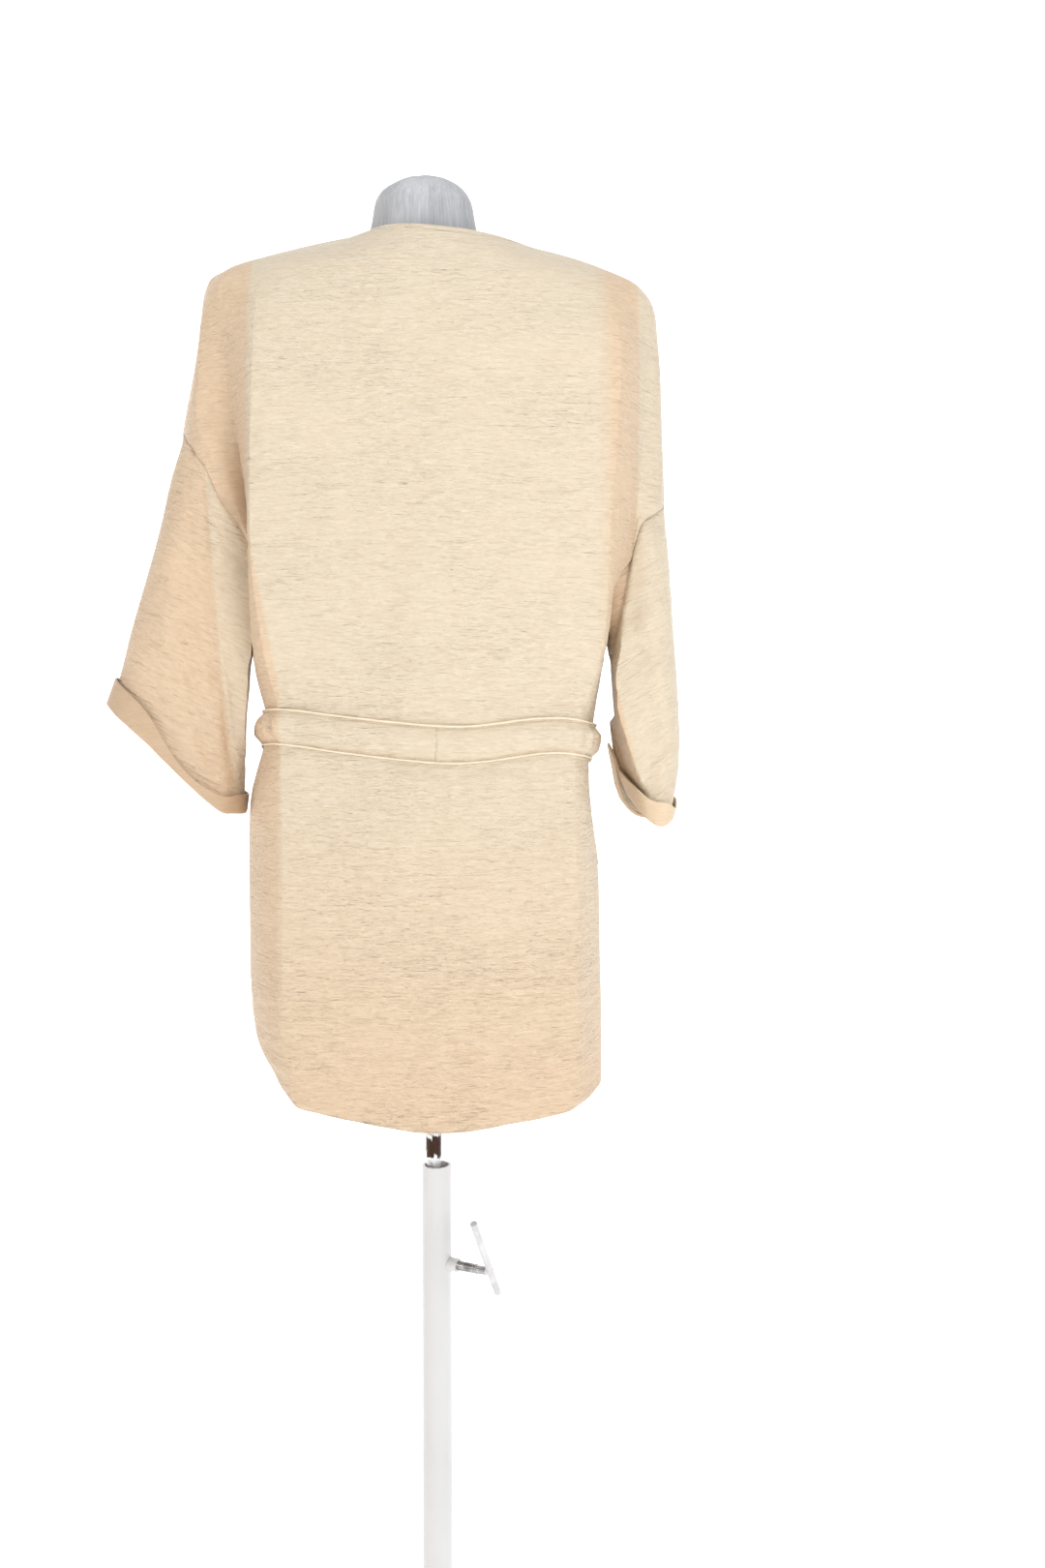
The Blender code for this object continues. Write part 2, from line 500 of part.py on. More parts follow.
def garment(collection, cloth, cuff_cloth):
    back_controls = back_net()
    back = ease_neck(patch(back_controls), *BACK_NECK_EASE)
    front = ease_neck(patch(front_net(back_controls)), *FRONT_NECK_EASE)
    surface = Surface()
    back_ids = surface.add(back)
    front_ids = surface.add(front)
    columns = back.shape[1]
    neck_left = sum(COLUMN_STEPS) + COLUMN_STEPS[0]
    neck_right = sum(COLUMN_STEPS) - COLUMN_STEPS[0]
    head, underarm = sum(ROW_STEPS[:HEAD]), sum(ROW_STEPS[:UNDERARM])
    for j in range(columns):
        if j <= neck_right or j >= neck_left:
            front_ids[0, j] = back_ids[0, j]
    for i in list(range(head + 1)) + list(range(underarm, back.shape[0])):
        front_ids[i, 0], front_ids[i, -1] = back_ids[i, 0], back_ids[i, -1]
    surface.faces["back"] = grid_faces(back_ids, turned=True)
    surface.faces["front"] = grid_faces(front_ids)
    for name, table, band, sign in (
        ("left", SLEEVE_LEFT, CUFF_LEFT, 1), ("right", SLEEVE_RIGHT, CUFF_RIGHT, -1)
    ):
        rings = sleeve_rings(table, sign, back, front)
        column = -1 if sign > 0 else 0
        armhole = np.concatenate([
            back_ids[head : underarm + 1, column], front_ids[head + 1 : underarm, column][::-1]
        ])
        lower = surface.add(rings[1:])
        ids = np.concatenate([armhole[None], lower])
        surface.faces["sleeve_" + name] = grid_faces(ids, closed=True, turned=sign < 0)
        rows = cuff_rows(rings, band, sign)
        cuff_ids = np.concatenate([ids[-1:], surface.add(rows[1:])])
        surface.faces["cuff_" + name] = grid_faces(cuff_ids, closed=True, turned=sign < 0)
    add_binding(surface, back_ids, front_ids)
    points, normals = np.array(surface.points), surface.normals()
    for name, faces in surface.faces.items():
        finish = cuff_cloth if name.startswith("cuff") else cloth
        add_mesh(name, *wall(points, normals, faces, WALL), collection, finish)
    add_casing(points, normals, back_ids, front_ids, collection, cloth)


def add_binding(surface, back_ids, front_ids):
    """The narrow band that finishes the neck, going on from the panels' edges towards the neck."""
    centre, neck = sum(COLUMN_STEPS), COLUMN_STEPS[0]
    edge_ids, below_ids = [], []
    for ids, columns in (
        (back_ids, range(centre - neck, centre + neck + 1)),
        (front_ids, range(centre + neck - 1, centre - neck, -1)),
    ):
        for j in columns:
            edge_ids.append(ids[0, j])
            at_shoulder = abs(j - centre) == neck
            below_ids.append(ids[0, j + (1 if j > centre else -1)] if at_shoulder else ids[1, j])
    points = np.array(surface.points)
    edge = points[edge_ids]
    along = np.roll(edge, -1, axis=0) - np.roll(edge, 1, axis=0)
    along /= np.linalg.norm(along, axis=1, keepdims=True)
    inward = edge - points[below_ids]
    inward -= along * (inward * along).sum(axis=1, keepdims=True)
    inward /= np.linalg.norm(inward, axis=1, keepdims=True)
    inward += (np.roll(inward, 1, axis=0) + np.roll(inward, -1, axis=0)) / 4
    inward *= BINDING_WIDTH / np.linalg.norm(inward, axis=1, keepdims=True)
    ids = np.concatenate([np.array(edge_ids)[None], surface.add(np.array([edge + inward / 2, edge + inward]))])
    surface.faces["neck_binding"] = grid_faces(ids, closed=True)


def add_casing(points, normals, back_ids, front_ids, collection, cloth):
    """The channel round the waist, from the body's own points moved out, open at centre back."""
    top = sum(ROW_STEPS[: ROW_NAMES.index("casing_top")])
    foot = sum(ROW_STEPS[: ROW_NAMES.index("casing_foot")])
    centre = sum(COLUMN_STEPS)
    loop = [back_ids[:, j] for j in range(centre, back_ids.shape[1])]
    loop += [front_ids[:, j] for j in range(front_ids.shape[1] - 2, -1, -1)]
    loop += [back_ids[:, j] for j in range(1, centre + 1)]
    ids = np.array(loop)
    on_top, on_foot = points[ids[:, top]], points[ids[:, foot]]
    normal = normals[ids[:, top]] + normals[ids[:, foot]]
    normal /= np.linalg.norm(normal, axis=1, keepdims=True)
    rows = []
    for share, puff in CASING_SECTION:
        rows.append(on_top * (1 - share) + on_foot * share + normal * (CASING_LIFT + puff * CASING_PUFF))
    rows = np.array(rows)
    rows[:, 0, 0] += CASING_JOIN
    rows[:, -1, 0] -= CASING_JOIN
    strip = Surface()
    strip.faces["waist_casing"] = grid_faces(strip.add(rows))
    faces = strip.faces["waist_casing"]
    add_mesh("waist_casing", *wall(np.array(strip.points), strip.normals(), faces, WALL), collection, cloth)


def form_slant(z):
    """How much of the garment's slant the form takes at a height."""
    start, full, faded = FORM_SLANT_RANGE
    rising = min(max((z - start) / (full - start), 0.0), 1.0)
    fading = min(max((faded - z) / (faded - full), 0.0), 1.0)
    return SLANT * min(rising, fading)


def hang_on(parent, items):
    """Parents items, whose meshes are in the part's own frame, to an empty without moving them."""
    for item in items:
        item.parent = parent
        item.location = -parent.location


def add_dress_form(collection, jersey):
    """Oval sections from the hip to the domed neck, with a socket for the mast in its foot."""
    rings = []
    for values in FORM:
        z, half_width, back, front, squareness = values
        ring = []
        for k in range(FORM_SIDES):
            turn = 2 * math.pi * k / FORM_SIDES
            c, s = math.cos(turn), math.sin(turn)
            x = math.copysign(abs(c) ** (2 / squareness), c) * half_width
            y = math.copysign(abs(s) ** (2 / squareness), s) * (back if s > 0 else -front)
            ring.append((FORM_CENTRE_X + x, y, z + form_slant(z) * x))
        rings.append(ring)
    socket = MAST_RADIUS + SOCKET_CLEARANCE
    rim = []
    for k in range(FORM_SIDES):
        turn = 2 * math.pi * k / FORM_SIDES
        rim.append((MAST_AXIS[0] + socket * math.cos(turn), MAST_AXIS[1] + socket * math.sin(turn)))
    top = MAST_TOP + SOCKET_CLEARANCE
    hole_top = [(x, y, top) for x, y in rim]
    hole_foot = [(x, y, FORM[0][0]) for x, y in rim]
    points = np.array([hole_top, hole_foot] + rings).reshape(-1, 3)
    ids = np.arange(len(points)).reshape(-1, FORM_SIDES)
    faces = grid_faces(ids, closed=True, turned=True)
    faces.append(tuple(ids[0]))
    faces.append(tuple(ids[-1]))
    made = add_mesh("dress_form", points, faces, collection, jersey)
    shape = bmesh.new()
    shape.from_mesh(made.data)
    bmesh.ops.recalc_face_normals(shape, faces=shape.faces)
    shape.to_mesh(made.data)
    shape.free()
    return made


def cylinder(name, radius, length, sides, collection, finish):
    """A closed cylinder round Z with its foot at the origin."""
    mesh = bpy.data.meshes.new(name)
    shape = bmesh.new()
    bmesh.ops.create_cone(
        shape, cap_ends=True, segments=sides, radius1=radius, radius2=radius, depth=length
    )
    bmesh.ops.translate(shape, verts=shape.verts, vec=(0.0, 0.0, length / 2))
    shape.to_mesh(mesh)
    shape.free()
    mesh.materials.append(finish)
    mesh.shade_smooth()
    mesh.set_sharp_from_angle(angle=math.radians(40))
    made = bpy.data.objects.new(name, mesh)
    collection.objects.link(made)
    return made


def boolean(target, other, operation):
    modifier = target.modifiers.new(operation.title(), "BOOLEAN")
    modifier.operation = operation
    modifier.object = other
    other.hide_render = True
    other.display_type = "WIRE"


def aim_clamp(item, reach, height=CLAMP_HEIGHT):
    """Turns a piece made along Z so that it points out along the clamp's axis, starting at reach."""
    item.location = (-math.cos(CLAMP_TURN) * reach, math.sin(CLAMP_TURN) * reach, height)
    item.rotation_euler = (0.0, -math.pi / 2, -CLAMP_TURN)


def add_stand(parts, cutters, paint, chrome, steel):
    base = cylinder("base_plate", BASE_RADIUS, BASE_HEIGHT, BASE_SIDES, parts, paint)
    edge = base.modifiers.new("Edge", "BEVEL")
    edge.width, edge.segments = BASE_EDGE, 3
    edge.limit_method, edge.angle_limit = "ANGLE", math.radians(50)
    foot = BASE_HEIGHT + SEAM_GAP
    pole = cylinder("pole", POLE_RADIUS, POLE_TOP - foot, POLE_SIDES, parts, paint)
    pole.location.z = foot
    boss = cylinder("boss_form", BOSS_RADIUS, BOSS_LENGTH + BOSS_ROOT, 20, cutters, paint)
    aim_clamp(boss, POLE_RADIUS - BOSS_ROOT)
    bore = cylinder("bore_cutter", POLE_BORE, POLE_TOP, POLE_SIDES, cutters, paint)
    bore.location.z = BASE_HEIGHT + POLE_PLUG
    thread_radius, thread_start = SCREW_RADIUS + SCREW_CLEARANCE, POLE_BORE / 3
    thread = cylinder("thread_cutter", thread_radius, 2 * POLE_RADIUS, SCREW_SIDES, cutters, paint)
    aim_clamp(thread, thread_start)
    boolean(pole, boss, "UNION")
    boolean(pole, bore, "DIFFERENCE")
    boolean(pole, thread, "DIFFERENCE")
    mast = cylinder("mast", MAST_RADIUS, MAST_TOP - MAST_FOOT, MAST_SIDES, parts, steel)
    mast.location = (*MAST_AXIS, MAST_FOOT)
    tip = MAST_RADIUS - math.hypot(*MAST_AXIS) + SCREW_CLEARANCE
    screw = cylinder("clamp_screw", SCREW_RADIUS, SCREW_END - tip, SCREW_SIDES, parts, chrome)
    aim_clamp(screw, tip)
    bar = cylinder("bar_form", T_BAR_RADIUS, T_BAR_LENGTH, SCREW_SIDES, cutters, chrome)
    across = np.array([math.sin(CLAMP_TURN), math.cos(CLAMP_TURN), 0.0])
    lean = across * math.sin(T_BAR_TILT) + np.array([0.0, 0.0, math.cos(T_BAR_TILT)])
    middle = np.array([-math.cos(CLAMP_TURN) * T_BAR_REACH, math.sin(CLAMP_TURN) * T_BAR_REACH, CLAMP_HEIGHT])
    foot_of_bar = middle + lean * (T_BAR_SHIFT - T_BAR_LENGTH / 2)
    bar.location = tuple(foot_of_bar)
    bar.rotation_mode = "QUATERNION"
    bar.rotation_quaternion = Vector(tuple(lean)).to_track_quat("Z", "Y")
    boolean(screw, bar, "UNION")


def main():
    clear_scene()
    parts = bpy.data.collections.new("tunic_on_dress_form")
    cutters = bpy.data.collections.new("cutters")
    for collection in (parts, cutters):
        bpy.context.scene.collection.children.link(collection)
    cloth = material("crepe", CLOTH, 0.75)
    cuff_cloth = material("crepe_reverse", CUFF_CLOTH, 0.8)
    jersey = material("jersey", JERSEY, 0.8)
    paint = material("white_paint", WHITE_PAINT, 0.3)
    chrome = material("chrome", CHROME, 0.15, 1.0)
    steel = material("steel_tube", CHROME, 0.3, 1.0)
    swivel = bpy.data.objects.new("form_swivel", None)
    swivel.location = (*MAST_AXIS, 0.0)
    parts.objects.link(swivel)
    garment(parts, cloth, cuff_cloth)
    add_dress_form(parts, jersey)
    hang_on(swivel, [item for item in parts.objects if item.type == "MESH"])
    add_stand(parts, cutters, paint, chrome, steel)


main()
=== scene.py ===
import json
import math

import bmesh
import bpy
import numpy as np
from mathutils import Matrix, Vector
from mathutils.bvhtree import BVHTree
from mathutils.kdtree import KDTree


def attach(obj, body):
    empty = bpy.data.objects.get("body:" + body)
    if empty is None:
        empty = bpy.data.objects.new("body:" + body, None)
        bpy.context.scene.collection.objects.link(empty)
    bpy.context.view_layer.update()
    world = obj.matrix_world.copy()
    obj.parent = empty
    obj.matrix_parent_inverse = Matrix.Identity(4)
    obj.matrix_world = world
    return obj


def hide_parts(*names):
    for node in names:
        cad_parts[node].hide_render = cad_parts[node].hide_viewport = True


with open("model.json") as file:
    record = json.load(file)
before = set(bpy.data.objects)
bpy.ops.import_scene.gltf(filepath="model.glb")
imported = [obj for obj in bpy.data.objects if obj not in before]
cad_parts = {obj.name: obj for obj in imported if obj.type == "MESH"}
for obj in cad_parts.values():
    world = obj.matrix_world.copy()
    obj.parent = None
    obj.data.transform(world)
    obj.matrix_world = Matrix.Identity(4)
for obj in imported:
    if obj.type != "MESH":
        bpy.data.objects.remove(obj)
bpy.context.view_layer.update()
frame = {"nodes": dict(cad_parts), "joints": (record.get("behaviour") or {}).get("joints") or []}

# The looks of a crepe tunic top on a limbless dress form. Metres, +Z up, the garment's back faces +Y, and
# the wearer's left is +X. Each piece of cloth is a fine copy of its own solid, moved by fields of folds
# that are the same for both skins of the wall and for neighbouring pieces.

# Camera, from the photograph's perspective
CAMERA_AT = (-0.0015, 1.45, 1.05)
CAMERA_TURN = (math.radians(87.6), 0.0, math.radians(176.64))
CAMERA_LENS, CAMERA_SENSOR = 33.33, 36.0

# Colours, linear
# PALE is the crepe where it is lit; the second pair is the same crepe darker and warmer, a painted shade for
# where it lies in shade.
PALE, PALE_DEEP = (0.700, 0.610, 0.478), (0.633, 0.531, 0.394)
SHADE_TAN, SHADE_TAN_DEEP = (0.702, 0.545, 0.394), (0.627, 0.465, 0.313)
# The left turn-up is a darker copy of the right one: painted shade, as the wearer's left lies in shade.
TURN_UP_LEFT_SHADED = ((0.520, 0.375, 0.250), (0.572, 0.423, 0.290))
TURN_UP_RIGHT = ((0.665, 0.508, 0.350), (0.715, 0.565, 0.410))
# Dark tone for the arm seams' raised lines: painted shade standing in for the shadow in the seam's groove.
SEAM_SHADE_COLOURS = ((0.430, 0.310, 0.205), (0.540, 0.405, 0.280))
# Light tone for the channel's turned edges: a painted highlight where the lip catches the light.
ROLL_HIGHLIGHT_COLOURS = ((0.800, 0.700, 0.540), (0.870, 0.780, 0.620))
THREAD, THREAD_SHADE = (0.86, 0.74, 0.57), (0.74, 0.60, 0.43)
JERSEY, JERSEY_LIGHT = (0.30, 0.31, 0.335), (0.53, 0.54, 0.57)
PAINT, PAINT_SHADE = (0.66, 0.66, 0.67), (0.60, 0.60, 0.61)
# The T bar's white-grey is a painted reflection: it stands in for the chrome bar mirroring the white studio.
BAR_REFLECTION_WHITE, BAR_REFLECTION_GREY = (0.70, 0.70, 0.72), (0.56, 0.56, 0.58)

# The studio's floor and wall, and how brightly they glow all round and more behind the object
STUDIO_HALF, STUDIO_NEAR, WALL_Y, WALL_TOP = 5.5, 5.5, -4.6, 4.8
COVE, COVE_STEPS = 1.2, 10
GLOW_ROUND, GLOW_BEHIND, WORLD_STRENGTH = 0.45, 0.50, 0.47
# Lamps: name, place, the point each faces, size, power in watts and colour
LAMPS = (
    ("key", (-1.2, 2.6, 1.3), (0.0, 0.0, 0.9), 1.3, 34.5, (1.0, 0.990, 0.965)),
    ("top", (0.0, 0.9, 3.3), (0.0, 0.0, 1.3), 1.2, 20.0, (1.0, 1.0, 1.0)),
    ("left", (2.4, 0.9, 1.0), (0.1, 0.0, 1.0), 1.2, 16.0, (1.0, 0.91, 0.80)),
    ("right", (-2.4, 0.7, 1.0), (-0.1, 0.0, 1.0), 1.2, 6.0, (1.0, 0.93, 0.84)),
    ("front", (0.9, -2.7, 2.0), (0.0, 0.0, 1.1), 1.3, 18.0, (1.0, 0.995, 0.975)),
)

TURN = 2 * math.pi
WELD = 1e-5

# Fine copies: the angle above which an edge is a rim, and how deep the sharp corner at a sleeve's peak is
SHARP = math.radians(55)
PEAK_DEPTH = 0.004
# Upright folds of the panels stay crisp by their angle, from none to the most. They fade out downwards to
# a height, lower at the wearer's left (1) than at the right (-1). Upright is a rise by a share of the length.
FOLD_FROM, FOLD_FULL, FOLD_MOST = math.radians(11), math.radians(34), 0.85
FOLD_FOOT, FOLD_FADE = {1: 0.74, -1: 0.92}, 0.10
FOLD_UPRIGHT = 0.6

# Seams: the farthest that a point lies from the facing rim, the distance at which two points count as one,
# the longest step along a seam, and the radius of the raised seam itself
NEAR_RIM, SAME_POINT, SEAM_JUMP = 0.0036, 0.0022, 0.045
WELT = 0.00095

# Outward directions are taken from an oval round the body, and from each sleeve's own axis.
BODY_OVAL = (0.170, 0.105)
SLEEVE_OVAL = (0.050, 0.055)
SLEEVE_AXIS = {1: ((0.215, 1.285), (0.252, 1.02)), -1: ((-0.202, 1.26), (-0.210, 1.01))}

# The clamp, along its axis from the pole's: where the T bar begins, and the thread's ends, pitch and radii
BAR_FROM = 0.0566
THREAD_FROM, THREAD_TO, THREAD_PITCH = 0.0248, 0.0470, 0.0016
THREAD_RADIUS, RIDGE_RADIUS, THREAD_SIDES = 0.0042, 0.00055, 20

# The neck's dome: the heights between which it is lifted, by how much, its centre and radius, and how the
# lift falls from the centre to the edge
DOME_FOOT, DOME_TOP, DOME_LIFT = 1.545, 1.572, 0.0032
DOME_AT, DOME_RADIUS, DOME_CENTRE, DOME_FALL = (0.003, -0.002), 0.036, 1.15, 0.9

# The waist channel's edges and middle, as a height on the axis and a rise for each metre to the wearer's left
CHANNEL_TOP, CHANNEL_FOOT, CHANNEL_MIDDLE = (1.0510, 0.050), (1.0160, 0.057), (1.033, 0.053)

# The left sleeve's long fold: its distance from x = 0 at the floor, and how much that grows with height.
FOLD_AT, FOLD_SLOPE = 0.1250, 0.070
# The same for the outer edge of the recess between the body and the right sleeve, and the most that it is
RECESS_AT, RECESS_SLOPE, RECESS_MOST = -0.0449, 0.194, 0.1965
# The same for the edge of that sleeve's open slit above the cuff
SLIT_AT, SLIT_SLOPE = 0.4480, -0.252
# The same for the crisp edge of the back's middle on the wearer's left, and the least and most that it is
EDGE_AT, EDGE_SLOPE, EDGE_LEAST, EDGE_MOST = -0.0494, 0.178, 0.1440, 0.1700

# Where the painted shade turns the cloth from pale to a darker, warmer tan, for the shade at the wearer's
# left, in the recess at the right and down the skirt. Down the skirt, and to the wearer's right in the
# recess, it is a slope for each metre and a start. At the crisp edges it is a slope alone, and inside the
# left sleeve's long fold a share of that painted shade stays.
DOWN_SLOPE, DOWN_START = -3.2, 3.25
RIGHT_SLOPE, RIGHT_START = -60.0, -9.0
FOLD_CRISP, EDGE_CRISP, RECESS_CRISP = 400.0, 250.0, 300.0
INSIDE_FOLD = 0.28
# Values of the threads' noise between which the deep colour turns into the light one
SLUB_DEEP, SLUB_LIGHT = 0.34, 0.60

# How far the channel stands above its straight line, from the wearer's right to left, as (x, rise).
CHANNEL_SAG = (
    (-0.165, 0.0015), (-0.150, 0.0040), (-0.132, 0.0085), (-0.110, 0.0090), (-0.084, 0.0055),
    (-0.053, -0.0003), (-0.027, -0.0036), (0.004, -0.0035), (0.039, -0.0013), (0.061, 0.0000),
    (0.083, 0.0015), (0.105, 0.0030), (0.127, 0.0055), (0.158, 0.0060), (0.175, 0.0030),
)
# The right sleeve's hollow beside the body: at a height, its inner edge's and its fold's distance from x = 0
RIGHT_HOLLOW = (
    (0.970, 0.1785, 0.1998), (1.035, 0.1755, 0.1985), (1.065, 0.1740, 0.1885), (1.092, 0.1730, 0.1860),
    (1.117, 0.1715, 0.1860),
)
# Least and greatest height of the part of each sleeve's back that lies flat beside the body, the lengths
# over which that begins and ends, and how far from the sleeve's fold its level is taken
FLAT_HEIGHTS = {1: (1.005, 1.235), -1: (0.975, 1.200)}
FLAT_FADES = {1: (0.03, 0.05), -1: (0.010, 0.04)}
FLAT_FROM = {1: -0.001, -1: 0.006}
# Nothing in front of this y is moved, points less deep than this below the outer skin are moved the whole
# way, and none goes further inwards than this
FLAT_FRONT, FLAT_DEPTH, FLAT_IN = -0.06, 0.004, -0.004
# The slit's edge above the right cuff: its height at the fold, its rise to the body and that curve's power
SLIT_FOOT, SLIT_RISE, SLIT_POWER = 0.982, 0.070, 1.5
# Above this height the recess is filled by only a share, which begins over a width
RECESS_FOOT, RECESS_FILL, RECESS_WIDTH = 1.085, 0.55, 0.004

# Folds, given one by one: side (1 back, -1 front), width, height (below 0 is a trough), lean and the line's
# points as (x, z).
BODY_FOLDS = (
    (1, 0.024, 0.0030, 0.2, ((-0.010, 1.330), (0.0115, 1.145), (0.031, 1.064))),
    (1, 0.014, -0.0018, 0.0, ((0.034, 1.240), (0.047, 1.150), (0.060, 1.070))),
    (1, 0.010, -0.0013, 0.0, ((-0.0465, 1.146), (-0.0446, 1.056))),
    (1, 0.016, 0.0015, 0.0, ((-0.062, 1.150), (-0.066, 1.060))),
    (1, 0.008, 0.0020, 0.3, ((0.1345, 1.101), (0.1290, 1.060))),
    (1, 0.007, -0.0016, 0.0, ((0.1220, 1.095), (0.1190, 1.060))),
    (1, 0.010, -0.0012, 0.0, ((-0.105, 1.130), (-0.110, 1.060))),
    (1, 0.030, -0.0020, 0.0, ((0.020, 1.470), (0.010, 1.350), (0.000, 1.230))),
    (1, 0.026, 0.0016, 0.0, ((-0.090, 1.440), (-0.100, 1.280))),
    (1, 0.018, 0.0014, 0.2, ((0.100, 1.330), (0.088, 1.200))),
    (1, 0.012, -0.0015, 0.0, ((0.112, 1.010), (0.108, 0.930))),
    (1, 0.020, 0.0018, 0.0, ((0.060, 1.000), (0.055, 0.850))),
    (1, 0.018, -0.0014, 0.0, ((0.010, 0.990), (0.004, 0.860))),
    (1, 0.020, 0.0016, 0.0, ((-0.050, 0.990), (-0.058, 0.830))),
    (1, 0.009, -0.0016, 0.0, ((-0.1215, 1.005), (-0.1250, 0.820))),
    (1, 0.026, -0.0018, 0.0, ((0.090, 0.800), (0.010, 0.755), (-0.070, 0.765))),
    (1, 0.016, 0.0013, 0.0, ((0.120, 0.765), (0.050, 0.720), (-0.030, 0.715))),
    (1, 0.014, -0.0012, 0.0, ((0.040, 0.745), (-0.040, 0.735), (-0.110, 0.760))),
    (-1, 0.022, 0.0028, 0.2, ((0.020, 1.330), (-0.006, 1.160), (-0.024, 1.066))),
    (-1, 0.014, -0.0018, 0.0, ((0.062, 1.250), (0.050, 1.150), (0.046, 1.068))),
    (-1, 0.012, -0.0016, 0.0, ((-0.052, 1.200), (-0.058, 1.066))),
    (-1, 0.018, 0.0018, 0.0, ((-0.086, 1.260), (-0.092, 1.080))),
    (-1, 0.016, 0.0016, 0.2, ((0.098, 1.220), (0.104, 1.070))),
    (-1, 0.018, -0.0020, 0.0, ((0.060, 1.480), (0.085, 1.400), (0.100, 1.310))),
    (-1, 0.018, -0.0020, 0.0, ((-0.070, 1.470), (-0.092, 1.390), (-0.104, 1.300))),
    (-1, 0.020, 0.0018, 0.0, ((0.070, 1.000), (0.064, 0.850))),
    (-1, 0.018, -0.0016, 0.0, ((0.018, 0.995), (0.012, 0.840))),
    (-1, 0.020, 0.0018, 0.0, ((-0.044, 0.990), (-0.050, 0.820))),
    (-1, 0.016, -0.0014, 0.0, ((-0.094, 0.995), (-0.100, 0.860))),
)
LEFT_SLEEVE_FOLDS = (
    (1, 0.0060, -0.0022, 0.0, ((0.2300, 1.270), (0.2296, 1.180), (0.2298, 1.046))),
    (1, 0.0075, 0.0016, 0.0, ((0.2225, 1.240), (0.2205, 1.130), (0.2180, 1.050))),
    (1, 0.0160, 0.0026, 0.2, ((0.2460, 1.260), (0.2560, 1.150), (0.2620, 1.080))),
    (1, 0.0070, 0.0022, 0.0, ((0.2070, 1.092), (0.2065, 1.050), (0.2040, 1.020))),
    (1, 0.0050, -0.0026, 0.0, ((0.2284, 1.050), (0.2200, 1.015), (0.2060, 0.994))),
    (1, 0.0040, 0.0014, 0.0, ((0.2350, 1.052), (0.2270, 1.020), (0.2130, 1.000))),
    (1, 0.0060, -0.0014, 0.0, ((0.2760, 1.120), (0.2600, 1.070), (0.2450, 1.045))),
    (-1, 0.0080, -0.0018, 0.2, ((0.2250, 1.240), (0.2220, 1.140), (0.2180, 1.050))),
    (-1, 0.0140, 0.0020, 0.0, ((0.2400, 1.230), (0.2430, 1.130), (0.2440, 1.060))),
    (-1, 0.0080, -0.0014, 0.0, ((0.2600, 1.200), (0.2680, 1.110))),
    (-1, 0.0070, 0.0013, 0.0, ((0.2050, 1.110), (0.2020, 1.020))),
)
RIGHT_SLEEVE_FOLDS = (
    (1, 0.0100, 0.0022, 0.0, ((-0.1873, 1.140), (-0.2030, 1.150), (-0.2230, 1.166))),
    (1, 0.0090, -0.0018, 0.0, ((-0.1850, 1.112), (-0.2030, 1.124), (-0.2260, 1.140))),
    (1, 0.0100, 0.0020, 0.0, ((-0.1840, 1.080), (-0.2020, 1.092), (-0.2280, 1.108))),
    (1, 0.0120, -0.0040, 0.2, ((-0.2060, 1.056), (-0.2150, 1.030), (-0.2240, 1.018))),
    (1, 0.0100, 0.0024, 0.0, ((-0.1960, 1.190), (-0.2080, 1.130), (-0.2200, 1.060))),
    (1, 0.0050, -0.0010, 0.0, ((-0.2180, 1.010), (-0.2290, 1.012))),
    (-1, 0.0100, 0.0016, 0.0, ((-0.1900, 1.150), (-0.2080, 1.160), (-0.2260, 1.176))),
    (-1, 0.0090, -0.0013, 0.0, ((-0.1880, 1.110), (-0.2080, 1.124), (-0.2280, 1.140))),
    (-1, 0.0100, 0.0014, 0.0, ((-0.2040, 1.090), (-0.2140, 1.040))),
)
# Folds with one crisp edge on the sleeves, by side: face, width of the raised part and of the sunk one,
# half the step's height, and the line, with its raised side on the left of its run.
SLEEVE_STEPS = {
    1: (
        (1, 0.030, 0.014, 0.0034, (
            (0.1965, 1.020), (0.2030, 1.084), (0.2085, 1.140), (0.2117, 1.212), (0.2150, 1.284),
        )),
    ),
    -1: (
        (1, 0.030, 0.016, 0.0030, ((-0.1740, 1.130), (-0.1830, 1.175), (-0.1960, 1.242))),
    ),
}
# Gathers above and below the waist channel, both sides: how many, their least and greatest length, width
# and height.
GATHERS_ABOVE = (18, (0.020, 0.070), (0.0050, 0.0100), (0.0006, 0.0015))
GATHERS_BELOW = (26, (0.020, 0.085), (0.0050, 0.0110), (0.0008, 0.0019))
GATHER_SPAN = 0.148

# Ripples of the crepe large enough for the mesh: how many, their height, and their lengths up and across
RIPPLE_COUNT, RIPPLE_HEIGHT = 26, 0.00034
RIPPLE_TALL, RIPPLE_WIDE = (0.013, 0.030), (0.045, 0.140)
# They grow down the skirt from a height and fade over the shoulders above another, each over a span
SKIRT_FROM, SKIRT_SPAN, SHOULDER_FROM, SHOULDER_SPAN = 0.95, 0.2, 1.36, 0.07
# The channel's sag is smoothed over this width, and ends at this distance from the channel, over a span
SAG_WIDTH, SAG_REACH, SAG_SPAN = 0.012, 0.075, 0.055

# How far each end of the channel is drawn to the other at centre back, and how far away that fades out.
JOIN_GAP, JOIN_REACH = 0.00135, 0.012
# How far the channel puffs out between its two rows of stitches and how far in that is full, how deep the
# stitches pull it in and how far its edges stand off the cloth below, each with its width.
PUFF, PUFF_WIDTH = 0.0036, 0.010
STITCH_GROOVE, GROOVE_WIDTH = 0.0016, 0.0013
LIP, LIP_WIDTH = 0.0008, 0.0011
# The channel's puckers: how many waves, how many there are round the body, how they slant, and their
# height at the edges and how much more it is in the middle
PUCKER_COUNT, PUCKER_TURNS, PUCKER_SLANT = 18, (14, 46), (-120, 120)
PUCKER_EDGE, PUCKER_MIDDLE = 0.00014, 0.00022

